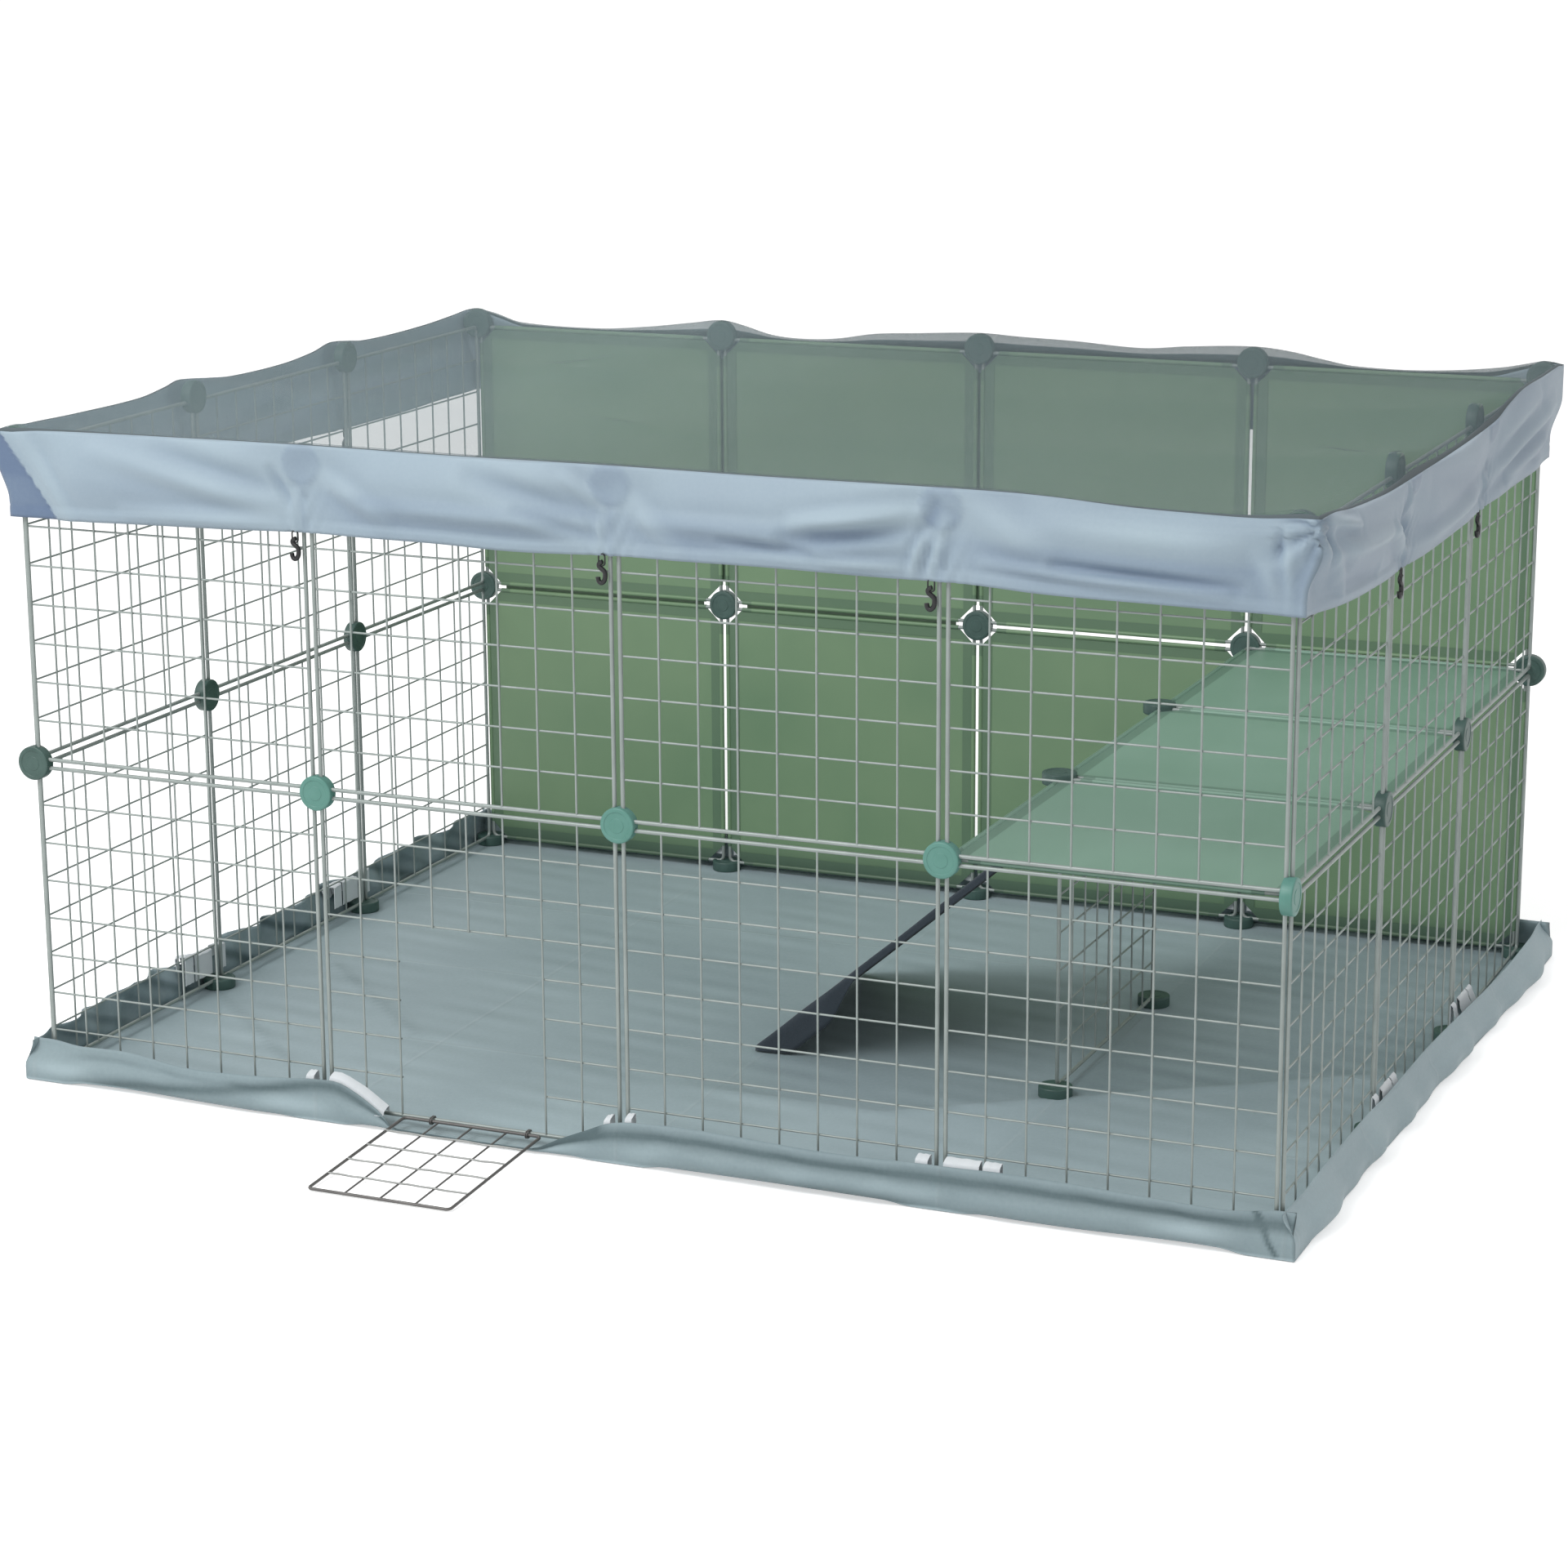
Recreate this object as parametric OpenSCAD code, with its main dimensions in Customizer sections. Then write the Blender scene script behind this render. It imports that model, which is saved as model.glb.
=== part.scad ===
// Rabbit playpen: a low pen of square wire panels held together by round corner connectors.
// Four panels long, three deep and two high, with plastic sheets at the back, a raised shelf
// with a hooked ramp, a wire door in the front, a cloth floor mat and a net cover with a skirt.
// X runs along the length, Y from front to back, Z up from the ground.

/* [Panels] */
// Outer side of one square panel
panel_side = 350; // [320:5:380]
// Gap between two neighbouring panels
panel_gap = 5; // [4.6:0.1:7]
// Diameter of a panel's frame rod
rod_d = 4.5; // [4.4:0.1:5]
// Diameter of a mesh wire
wire_d = 2.2; // [1.8:0.1:2.2]

/* [Connectors] */
// Diameter of a connector
disc_d = 38; // [36:1:40]
// Thickness of a connector
disc_t = 13; // [12.6:0.2:15]
// Width of the bevel round both faces of a connector
disc_bevel = 1.6; // [0.8:0.2:1.8]
// Play between a rod and its slot
slot_play = 0.3; // [0.25:0.05:0.35]

/* [Sheets] */
// Thickness of the plastic sheet
sheet_t = 0.5; // [0.4:0.05:0.6]
// Width of the doubled border of a sheet
border_w = 15; // [10:1:20]
// Distance from a joint's centre to the point of the corner cut
cut_reach = 31; // [30:0.5:36]

/* [Door] */
// Diameter of the door's outer rods
door_rod_d = 3.4; // [3:0.1:3.6]
// Play between the door and the wires round its opening
door_play = 1.5; // [1:0.1:3]
// Thickness of a hinge ring along the rod
ring_w = 3; // [2:0.5:5]
// Wall of a hinge ring or a ramp hook
ring_wall = 1.6; // [1.2:0.1:1.8]

/* [Ramp] */
// Length of the ramp from its hinge wire to its foot
ramp_len = 478; // [450:2:520]
// Width of the ramp
ramp_w = 320; // [280:2:330]
// Thickness of the ramp's mat
ramp_mat_t = 3; // [2:0.5:4]
// Thickness of the mat's turned-down edges
ramp_edge_t = 2; // [1.5:0.5:3]

/* [Floor mat] */
// Thickness of the floor cloth
mat_t = 1; // [0.8:0.1:2]
// Height of the turned-up rim above the ground
rim_h = 44; // [36:1:60]
// How far the rim leans out at its top
rim_lean = 5; // [2:0.5:8]
// Height of the rim where the door lies over it
rim_dip_h = 6.5; // [5:0.5:7]
// Width of a fastening tab
tab_w = 44; // [36:1:50]

/* [Cover] */
// Height of the skirt
skirt_h = 96; // [80:1:110]
// Thickness of the skirt's cloth
skirt_t = 1.2; // [0.8:0.1:1.6]
// How far the skirt swells out between two posts
skirt_swell = 5; // [0:0.5:8]
// Thickness of the roof net
net_t = 0.6; // [0.5:0.1:1]
// How far the roof net sags in its middle
net_sag = 25; // [0:1:28]
// Length of a tie hook
hook_len = 24; // [18:1:30]

/* [Hidden] */
$fn = 48;

// Panels along the length, the depth and the height, and mesh cells along a panel
n_wide = 4;
n_deep = 3;
n_high = 2;
cells = 8;

// Layout of the panels: joints lie a pitch apart, and a frame's rods run joint_off from them
pitch = panel_side + panel_gap;
rod_side = panel_side - rod_d;
cell = rod_side / cells;
joint_off = (pitch - rod_side) / 2;
base_z = mat_t + disc_t / 2;
half_x = n_wide * pitch / 2;
half_y = n_deep * pitch / 2;
top_z = base_z + n_high * pitch;
bottom_rod_z = base_z + joint_off;

// Running clearance between soft pieces, play where one piece grips another, how deep two fused
// pieces reach into each other, and how far a cut runs past what it cuts
gap = 0.3;
seat_play = 0.1;
weld = 0.2;
overcut = 1;

// Door: it fills four cells by five, and hangs from two rings on the panel's bottom rod
door_column = 2;
door_first = 2;
door_cells_w = 4;
door_cells_h = 5;
door_w = door_cells_w * cell - wire_d - 2 * door_play;
door_len = door_cells_h * cell - wire_d / 2 - door_play;
ring_play = 0.3;
rod_corner_r = rod_d / 2 / cos(22.5);
door_corner_r = door_rod_d / 2 / cos(22.5);
hinge_rod_d = rod_d - seat_play;
door_end_gap = 1;
door_end = rod_d / 2 + ring_play + door_corner_r + door_end_gap;
door_drop = asin((bottom_rod_z - gap - wire_d) / (door_len - door_rod_d / 2));
door_x = (door_column - 0.5 - n_wide / 2) * pitch;
door_ring_cells = [0.8, 3.6];

// Ramp: two hooks hang it on the second wire from the top of the grid under the shelf's edge
ramp_row = 7;
hinge_play = 0.3;
hinge_x = pitch - wire_d / 2 + weld;
hinge_z = base_z + joint_off + ramp_row * cell;
ramp_y = 0;
ramp_start = 9;
ramp_lip = 3;
ramp_rise = hinge_z - mat_t - gap;
ramp_slope = asin(ramp_rise / norm([ramp_len, ramp_lip])) - atan(ramp_lip / ramp_len);
rungs = 10;
hook_cells = [-2.5, 2.5];

// Mat: its rim stands clear of the connectors
rim_clear = 1.3;
rim_off = disc_d / 2 + rim_clear;
rim_t = 1;
dip_from = 0.09;
dip_low = 0.22;
tab_reach = 4;
tab_ear_w = 12;
tab_leg = 13;
tab_t = 1;
tab_clear = 1;

// Cover: the net lies on the top connectors, and the skirt hangs from its border. The corner
// connectors stand out past the side walls, so the cloth lies further out there
net_play = 0.8;
net_z = top_z + disc_d / 2 + net_play;
skirt_clear = 2.5;
corner_clear = 1;
skirt_off = disc_t / 2 + skirt_clear;
corner_off = disc_d / 2 + corner_clear;
corner_taper = 60;
seam_lap = 0.5;
net_over_x = corner_off + skirt_t + seam_lap;
net_over_y = skirt_off + skirt_t + seam_lap;
net_rest = disc_t / 2 + 2;
net_steps = 4;
hem_sag = 4;
hem_wave = 1.2;
tie_shift = 11;
loop_w = 6;
loop_h = 12;
loop_band = 1.4;
loop_t = 1.2;
hook_t = 4;
hook_bar = 2.6;
hook_mouth = 2.4;
hook_tip = 9;
hook_eye_w = 8;

echo(door_open_deg = door_drop, door_closed_deg = 90 + door_drop, ramp_slope_deg = ramp_slope);
echo(hinge_rod = [door_x, -half_y, bottom_rod_z], ramp_hinge = [hinge_x, ramp_y, hinge_z]);
echo(net_z = net_z, top_z = top_z, base_z = base_z, pitch = pitch);

// Straight rods of octagonal section: d is the width across the flats
module bar_z(d, length) {
    rotate([0, 0, 22.5]) cylinder(d = d / cos(22.5), h = length, center = true, $fn = 8);
}

module bar_x(d, length) {
    rotate([0, 90, 0]) bar_z(d, length);
}

// Square rod frame in the XZ plane, about its centre
module rod_frame(side = rod_side, d = rod_d) {
    for (s = [-1, 1]) {
        translate([s * side / 2, 0, 0]) bar_z(d, side + d);
        translate([0, 0, s * side / 2]) bar_x(d, side + d);
    }
}

function wire_at(i) = -rod_side / 2 + i * cell;

// Wire panel in the XZ plane: upright wires in front, level wires behind, welded where they cross
module wire_panel() {
    color("silver") union() {
        rod_frame();
        for (i = [1 : cells - 1]) {
            translate([wire_at(i), -wire_d / 2, 0]) bar_z(wire_d, rod_side);
            translate([0, wire_d / 2, wire_at(i)]) bar_x(wire_d, rod_side);
        }
    }
}

// Wire panel with a doorway; its bottom rod is round, because the door's rings turn on it
module door_panel() {
    left = wire_at(door_first);
    right = wire_at(door_first + door_cells_w);
    head = wire_at(door_cells_h);
    edge = rod_side / 2;
    color("silver") union() {
        for (s = [-1, 1]) translate([s * edge, 0, 0]) bar_z(rod_d, rod_side + rod_d);
        translate([0, 0, edge]) bar_x(rod_d, rod_side + rod_d);
        translate([0, 0, -edge]) rotate([0, 90, 0])
            cylinder(d = hinge_rod_d, h = rod_side, center = true);
        for (i = [1 : cells - 1]) {
            in_door_x = i > door_first && i < door_first + door_cells_w;
            foot = in_door_x ? head - wire_d / 2 : -edge;
            translate([wire_at(i), -wire_d / 2, (foot + edge) / 2]) bar_z(wire_d, edge - foot);
            if (i >= door_cells_h) {
                translate([0, wire_d / 2, wire_at(i)]) bar_x(wire_d, rod_side);
            } else {
                stub = left + wire_d / 2 + edge;
                for (s = [-1, 1]) translate([s * (edge - stub / 2), wire_d / 2, wire_at(i)])
                    bar_x(wire_d, stub);
            }
        }
    }
}

// Grid under the shelf's inner edge: the ramp's hinge wire is round
module support_panel() {
    color("silver") union() {
        rod_frame();
        for (i = [1 : cells - 1]) {
            translate([wire_at(i), -wire_d / 2, 0]) bar_z(wire_d, rod_side);
            if (i != ramp_row) translate([0, wire_d / 2, wire_at(i)]) bar_x(wire_d, rod_side);
        }
        translate([0, wire_d / 2 - weld, wire_at(ramp_row)]) rotate([0, 90, 0])
            cylinder(d = wire_d, h = rod_side, center = true);
    }
}

// Places of the panels: column and row count from the front left
module in_front(column, row) {
    translate([(column - 0.5 - n_wide / 2) * pitch, -half_y, base_z + (row - 0.5) * pitch])
        children();
}

module in_back(column, row) {
    translate([(column - 0.5 - n_wide / 2) * pitch, half_y, base_z + (row - 0.5) * pitch])
        children();
}

module in_side(side, column, row) {
    translate([side * half_x, (column - 0.5 - n_deep / 2) * pitch, base_z + (row - 0.5) * pitch])
        rotate([0, 0, 90]) children();
}

module on_shelf(column) {
    translate([half_x - pitch / 2, (column - 0.5 - n_deep / 2) * pitch, base_z + pitch])
        rotate([90, 0, 0]) children();
}

// Plastic sheet in the XZ plane: its edges fold round the frame's rods, its corners are cut off
module sheet(tint) {
    sleeve_in = rod_d + 2 * seat_play;
    sleeve_out = sleeve_in + 2 * sheet_t;
    inner = rod_side - 2 * border_w;
    corner = rod_side / 2 + joint_off;
    color(tint) difference() {
        union() {
            cube([rod_side, sheet_t, rod_side], center = true);
            difference() {
                cube([rod_side, 2 * sheet_t, rod_side], center = true);
                cube([inner, 3 * sheet_t, inner], center = true);
            }
            rod_frame(rod_side, sleeve_out);
        }
        rod_frame(rod_side, sleeve_in);
        for (sx = [-1, 1], sz = [-1, 1])
            translate([sx * corner, 0, sz * corner]) rotate([0, 45, 0])
                cube([cut_reach * sqrt(2), 2 * sleeve_out, cut_reach * sqrt(2)], center = true);
    }
}

// Slots of a connector: one panel corner has a rod along u and a rod along v
module box_between(a, b) {
    low = [for (i = [0 : 2]) min(a[i], b[i])];
    high = [for (i = [0 : 2]) max(a[i], b[i])];
    translate(low) cube(high - low);
}

module panel_corner_slots(u, v) {
    w = cross(u, v);
    half = rod_d / 2 + slot_play;
    near = joint_off - half;
    far = joint_off + half;
    box_between(u * near + v * near - w * half, u * disc_d + v * far + w * half);
    box_between(u * near + v * near - w * half, u * far + v * disc_d + w * half);
}

// Directions in which panels leave joint i, j, k, by wall
function ways(index, last) = [for (s = [-1, 1]) if (index + s >= 0 && index + s <= last) s];
x_axis = [1, 0, 0];
y_axis = [0, 1, 0];
z_axis = [0, 0, 1];
function corners_at(i, j, k) = concat(
    (j == 0 || j == n_deep)
        ? [for (a = ways(i, n_wide), c = ways(k, n_high)) [a * x_axis, c * z_axis]] : [],
    (i == 0 || i == n_wide)
        ? [for (b = ways(j, n_deep), c = ways(k, n_high)) [b * y_axis, c * z_axis]] : [],
    (k == 1 && i >= n_wide - 1)
        ? [for (b = ways(j, n_deep)) [(i == n_wide ? -1 : 1) * x_axis, b * y_axis]] : [],
    (i == n_wide - 1 && (j == 1 || j == 2) && k < 2)
        ? [[(j == 1 ? 1 : -1) * y_axis, (k == 0 ? 1 : -1) * z_axis]] : []
);

// Outer joints of a level, and the two joints at the shelf's inner edge
function joints(inner) = concat(
    [for (i = [0 : n_wide], j = [0 : n_deep])
        if (i == 0 || i == n_wide || j == 0 || j == n_deep) [i, j]],
    inner ? [[n_wide - 1, 1], [n_wide - 1, 2]] : []
);

module disc() {
    rim = disc_t - 2 * disc_bevel;
    cylinder(d = disc_d, h = rim, center = true);
    for (s = [0, 1]) mirror([0, 0, s]) translate([0, 0, rim / 2])
        cylinder(d1 = disc_d, d2 = disc_d - 3 * disc_bevel, h = disc_bevel);
}

// Connector discs lie flat on the mat, and stand in the plane of the wall higher up. At a corner
// that is the front or back wall, but by the shelf's front corner the disc stands in the side wall
module connector(i, j, k) {
    lies = k == 0 || (i > 0 && i < n_wide && j > 0 && j < n_deep);
    by_shelf = k == 1 && i == n_wide && j == 0;
    faces_y = (j == 0 || j == n_deep) && !by_shelf;
    translate([(i - n_wide / 2) * pitch, (j - n_deep / 2) * pitch, base_z + k * pitch])
        difference() {
            rotate(lies ? [0, 0, 0] : faces_y ? [90, 0, 0] : [0, 90, 0]) disc();
            for (c = corners_at(i, j, k)) panel_corner_slots(c[0], c[1]);
        }
}

module connectors(k, inner, tint) {
    color(tint) for (p = joints(inner)) connector(p[0], p[1], k);
}

// Flat ring round two parallel rods: r1 at the origin, r2 at distance reach along +X
module link_ring(r1, r2, reach, wall, width) {
    translate([0, 0, -width / 2]) linear_extrude(width) difference() {
        union() {
            circle(r = r1 + wall);
            translate([reach, 0]) circle(r = r2 + wall);
            translate([0, -(min(r1, r2) + wall) * 0.8])
                square([reach, 2 * (min(r1, r2) + wall) * 0.8]);
        }
        circle(r = r1);
        translate([reach, 0]) circle(r = r2);
    }
}

// Door: drawn along +X from the hinge, its width along Y, its inner face up
module door_frame_of_reference() {
    translate([door_x, -half_y, bottom_rod_z]) rotate([door_drop, 0, 0]) rotate([0, 0, -90])
        children();
}

module door_grid() {
    near = door_end;
    far = door_len - door_rod_d / 2;
    half = (door_w - door_rod_d) / 2;
    inner_cell = 2 * half / door_cells_w;
    row_cell = (far - near) / door_cells_h;
    reach = far - near + door_rod_d + 2 * weld;
    color("gray") door_frame_of_reference() union() {
        for (s = [-1, 1]) translate([(near + far) / 2, s * half, 0]) bar_x(door_rod_d, reach);
        for (x = [near, far]) translate([x, 0, 0]) rotate([0, 0, 90]) bar_x(door_rod_d, 2 * half);
        for (i = [1 : door_cells_w - 1])
            translate([(near + far) / 2, -half + i * inner_cell, -wire_d / 2])
                bar_x(wire_d, far - near);
        for (i = [1 : door_cells_h - 1]) translate([near + i * row_cell, 0, wire_d / 2])
            rotate([0, 0, 90]) bar_x(wire_d, 2 * half);
    }
}

module door_hinge_rings() {
    half = (door_w - door_rod_d) / 2;
    color("darkgray") door_frame_of_reference()
        for (c = door_ring_cells)
            translate([0, -half + c * 2 * half / door_cells_w, 0]) rotate([90, 0, 0])
                link_ring(rod_d / 2 + ring_play, door_corner_r + seat_play, door_end, ring_wall, ring_w);
}

// Ramp: drawn along +X from its hinge wire down to its foot, its top side up
module ramp_frame_of_reference() {
    translate([hinge_x, ramp_y, hinge_z]) rotate([0, 180 - ramp_slope, 0]) mirror([0, 0, 1])
        children();
}

module ramp_frame() {
    near = ramp_start;
    far = ramp_len - ramp_edge_t - gap - rod_d / 2;
    half = ramp_w / 2 - ramp_edge_t - gap - rod_d / 2;
    color("dimgray") ramp_frame_of_reference() union() {
        for (s = [-1, 1]) translate([(near + far) / 2, s * half, 0])
            bar_x(rod_d, far - near + rod_d);
        for (x = [near, far]) translate([x, 0, 0]) rotate([0, 0, 90])
            bar_x(rod_d, 2 * half + rod_d);
        for (i = [1 : rungs]) translate([near + i * (far - near) / (rungs + 1), 0, 0])
            rotate([0, 0, 90]) bar_x(wire_d, 2 * half);
    }
}

// Mat of the ramp: turned down at three edges, with a slit at the upper edge for each hook
module ramp_mat() {
    near = ramp_start - rod_d / 2;
    top = rod_d / 2;
    wall = top + ramp_mat_t + ramp_lip;
    slit_end = ramp_start + rod_corner_r + seat_play + ring_wall + gap;
    slit_w = ring_w + 2 * gap;
    color("darkslategray") ramp_frame_of_reference() difference() {
        union() {
            translate([near, -ramp_w / 2, top]) cube([ramp_len - near, ramp_w, ramp_mat_t]);
            for (s = [0, 1]) mirror([0, s, 0]) translate([near, -ramp_w / 2, -ramp_lip])
                cube([ramp_len - near, ramp_edge_t, wall]);
            translate([ramp_len - ramp_edge_t, -ramp_w / 2, -ramp_lip])
                cube([ramp_edge_t, ramp_w, wall]);
        }
        for (c = hook_cells) translate([near - overcut, c * cell - slit_w / 2, top - overcut])
            cube([slit_end - near + overcut, slit_w, ramp_mat_t + 2 * overcut]);
    }
}

module ramp_hooks() {
    color("dimgray") ramp_frame_of_reference()
        for (c = hook_cells) translate([0, c * cell, 0]) rotate([90, 0, 0])
            link_ring(wire_d / 2 + hinge_play, rod_corner_r + seat_play, ramp_start, ring_wall, ring_w);
}

// Thin wall of cloth: pt(u, v, side) gives a point, side 0 is the inner face and 1 the outer
module cloth(nu, nv, pt) {
    count = (nu + 1) * (nv + 1);
    id = function(i, j, s) s * count + j * (nu + 1) + i;
    quads = concat(
        [for (j = [0 : nv - 1], i = [0 : nu - 1])
            [id(i, j, 1), id(i, j + 1, 1), id(i + 1, j + 1, 1), id(i + 1, j, 1)]],
        [for (j = [0 : nv - 1], i = [0 : nu - 1])
            [id(i, j, 0), id(i + 1, j, 0), id(i + 1, j + 1, 0), id(i, j + 1, 0)]],
        [for (i = [0 : nu - 1]) [id(i, 0, 1), id(i + 1, 0, 1), id(i + 1, 0, 0), id(i, 0, 0)]],
        [for (i = [0 : nu - 1])
            [id(i + 1, nv, 1), id(i, nv, 1), id(i, nv, 0), id(i + 1, nv, 0)]],
        [for (j = [0 : nv - 1]) [id(0, j + 1, 1), id(0, j, 1), id(0, j, 0), id(0, j + 1, 0)]],
        [for (j = [0 : nv - 1])
            [id(nu, j, 1), id(nu, j + 1, 1), id(nu, j + 1, 0), id(nu, j, 0)]]
    );
    polyhedron(
        points = [for (s = [0, 1], j = [0 : nv], i = [0 : nu]) pt(i / nu, j / nv, s)],
        faces = [for (q = quads) each [[q[0], q[1], q[2]], [q[0], q[2], q[3]]]]
    );
}

// 0 at every post and 1 half way between two posts
function mid_span(s) = (1 - cos(360 * s)) / 2;
function smooth(t) = let (c = min(1, max(0, t))) c * c * (3 - 2 * c);

// Height of the front rim along the wall: it dips where the door lies over it
function rim_top(s, dips) =
    let (from = door_column - 1, d = min(s - from, from + 1 - s))
    dips && d > 0 ? rim_h - (rim_h - rim_dip_h) * smooth((d - dip_from) / (dip_low - dip_from))
        : rim_h;

// Rim outside a wall of n panels, drawn along X with its outer face to -Y
module mat_rim(n, half, trim, dips) {
    steps = 16 * n;
    color("lightslategray") cloth(steps, 2, function(u, v, side)
        let (
            x = (2 * u - 1) * (half + trim),
            s = x / pitch + n / 2,
            top = rim_top(s, dips),
            z = mat_t + v * (top - mat_t),
            lean = rim_lean * (z - mat_t) / (rim_h - mat_t),
            wave = v * (top - mat_t) / rim_h * mid_span(s) * (2 + 1.5 * sin(1080 * s))
        )
        [x, -(rim_off + lean + wave + side * rim_t), z]);
}

module mat_rim_front() {
    translate([0, -half_y, 0]) mat_rim(n_wide, half_x, rim_off + rim_t, true);
}

module mat_rim_back() {
    translate([0, half_y, 0]) rotate([0, 0, 180])
        mat_rim(n_wide, half_x, rim_off + rim_t, false);
}

module mat_rim_side(side) {
    translate([side * half_x, 0, 0]) rotate([0, 0, side * 90])
        mat_rim(n_deep, half_y, rim_off - gap, false);
}

module floor_mat() {
    over = rim_off + rim_t;
    color("slategray") translate([-half_x - over, -half_y - over, 0])
        cube([2 * (half_x + over), 2 * (half_y + over), mat_t]);
}

// Tab: folded over the rim's top edge, with two ears that lie on the bottom rods by the post
module mat_tab() {
    lean_at = function(z) rim_lean * (z - mat_t) / (rim_h - mat_t);
    in_y = function(z) -(rim_off + lean_at(z) - gap);
    out_y = function(z) -(rim_off + lean_at(z) + rim_t + gap);
    low = bottom_rod_z + rod_d / 2 + gap;
    top = rim_h + gap;
    outer_low = rim_h - tab_leg;
    ear_from = joint_off + rod_d / 2 + tab_clear;
    profile = [
        [out_y(outer_low) - tab_t, outer_low], [out_y(outer_low), outer_low],
        [out_y(top), top], [in_y(top), top], [in_y(low), low],
        [in_y(low) + tab_t, low], [in_y(top) + tab_t, top + tab_t],
        [out_y(top) - tab_t, top + tab_t]
    ];
    color("lightgray") union() {
        translate([-tab_w / 2, 0, 0]) rotate([90, 0, 90]) linear_extrude(tab_w)
            polygon(profile);
        for (s = [0, 1]) mirror([s, 0, 0]) translate([ear_from, in_y(low) + tab_t / 2, low])
            cube([tab_ear_w, tab_reach - in_y(low) - tab_t / 2, tab_t]);
    }
}

// Posts between the corners: [place, turn], the turn brings -Y to the outside
function posts(offset) = concat(
    [for (i = [1 : n_wide - 1]) [[(i - n_wide / 2) * pitch - offset, -half_y, 0], 0]],
    [for (i = [1 : n_wide - 1]) [[(i - n_wide / 2) * pitch + offset, half_y, 0], 180]],
    [for (j = [1 : n_deep - 1]) [[half_x, (j - n_deep / 2) * pitch - offset, 0], 90]],
    [for (j = [1 : n_deep - 1]) [[-half_x, (j - n_deep / 2) * pitch + offset, 0], -90]]
);

module mat_tabs() {
    for (p = posts(0)) translate(p[0]) rotate([0, 0, p[1]]) mat_tab();
}

// Roof net: a thin closed sheet for the fine netting, flat over the walls, sagging inside them
module roof_net() {
    rest = [half_x - net_rest, half_y - net_rest];
    reach = [half_x + net_over_x, half_y + net_over_y];
    count = [net_steps * n_wide + 2, net_steps * n_deep + 2];
    spot = function(t, n, inner, outer)
        let (i = round(t * n))
        i == 0 ? -outer : i == n ? outer : inner * (2 * (i - 1) / (n - 2) - 1);
    color("darkslategray") cloth(count.x, count.y, function(u, v, side)
        let (
            x = spot(u, count.x, rest.x, reach.x),
            y = spot(v, count.y, rest.y, reach.y),
            free = max(0, 1 - pow(x / rest.x, 2)) * max(0, 1 - pow(y / rest.y, 2))
        )
        [x, y, net_z + side * net_t - net_sag * pow(free, 0.8)]);
}

// Skirt outside a wall of n panels, drawn along X with its outer face to -Y. It hangs close to
// the posts, and stands out by bulge along its top seam and round the corner connectors
module skirt(n, half, trim, bulge) {
    steps = 16 * n;
    color("lightsteelblue") cloth(steps, 3, function(u, v, side)
        let (
            x = (2 * u - 1) * (half + trim),
            s = x / pitch + n / 2,
            low = net_z - skirt_h - hem_sag * mid_span(s),
            z = low + v * (net_z - low),
            corner = 1 - smooth((half - abs(x) - disc_t) / corner_taper),
            seam = smooth((v - 0.6) / 0.4),
            out = bulge * max(corner, seam),
            swell = skirt_swell * mid_span(s) * sin(180 * v),
            wave = hem_wave * (1 - v) * (1 + sin(720 * s))
        )
        [x, -(skirt_off + out + swell + wave + side * skirt_t), z]);
}

module skirt_front() {
    translate([0, -half_y, 0]) skirt(n_wide, half_x, corner_off + skirt_t, 0);
}

module skirt_back() {
    translate([0, half_y, 0]) rotate([0, 0, 180]) skirt(n_wide, half_x, corner_off + skirt_t, 0);
}

module skirt_side(side) {
    translate([side * half_x, 0, 0]) rotate([0, 0, side * 90])
        skirt(n_deep, half_y, skirt_off - gap, corner_off - skirt_off);
}

// Ties at the hem: an elastic loop with a small hook on it, drawn with the outside to -Y
tie_y = -(skirt_off + skirt_t / 2 + hem_wave);
tie_z = net_z - skirt_h - hem_sag * mid_span(tie_shift / pitch) - gap;

module tie_loop() {
    translate([0, tie_y, tie_z - loop_h]) rotate([90, 0, 0]) translate([0, 0, -loop_t / 2])
        linear_extrude(loop_t) difference() {
            translate([-loop_w / 2, 0]) square([loop_w, loop_h]);
            translate([loop_band - loop_w / 2, loop_band])
                square([loop_w - 2 * loop_band, loop_h - 2 * loop_band]);
        }
}

module tie_hook() {
    bar = hook_bar;
    translate([0, tie_y, tie_z - loop_h - gap - hook_len]) rotate([90, 0, 0])
        translate([0, 0, -hook_t / 2]) linear_extrude(hook_t) union() {
            translate([-bar / 2, 0]) square([bar, hook_len]);
            translate([-bar / 2, 0]) square([2 * bar + hook_mouth, bar]);
            translate([bar / 2 + hook_mouth, 0]) square([bar, hook_tip]);
            translate([-hook_eye_w / 2, hook_len - 2 * bar]) square([hook_eye_w, bar]);
        }
}

module tie_loops() {
    color("dimgray") for (p = posts(tie_shift)) translate(p[0]) rotate([0, 0, p[1]]) tie_loop();
}

module tie_hooks() {
    color("black") for (p = posts(tie_shift)) translate(p[0]) rotate([0, 0, p[1]]) tie_hook();
}

back_green = "darkseagreen";
shelf_green = "mediumaquamarine";

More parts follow.
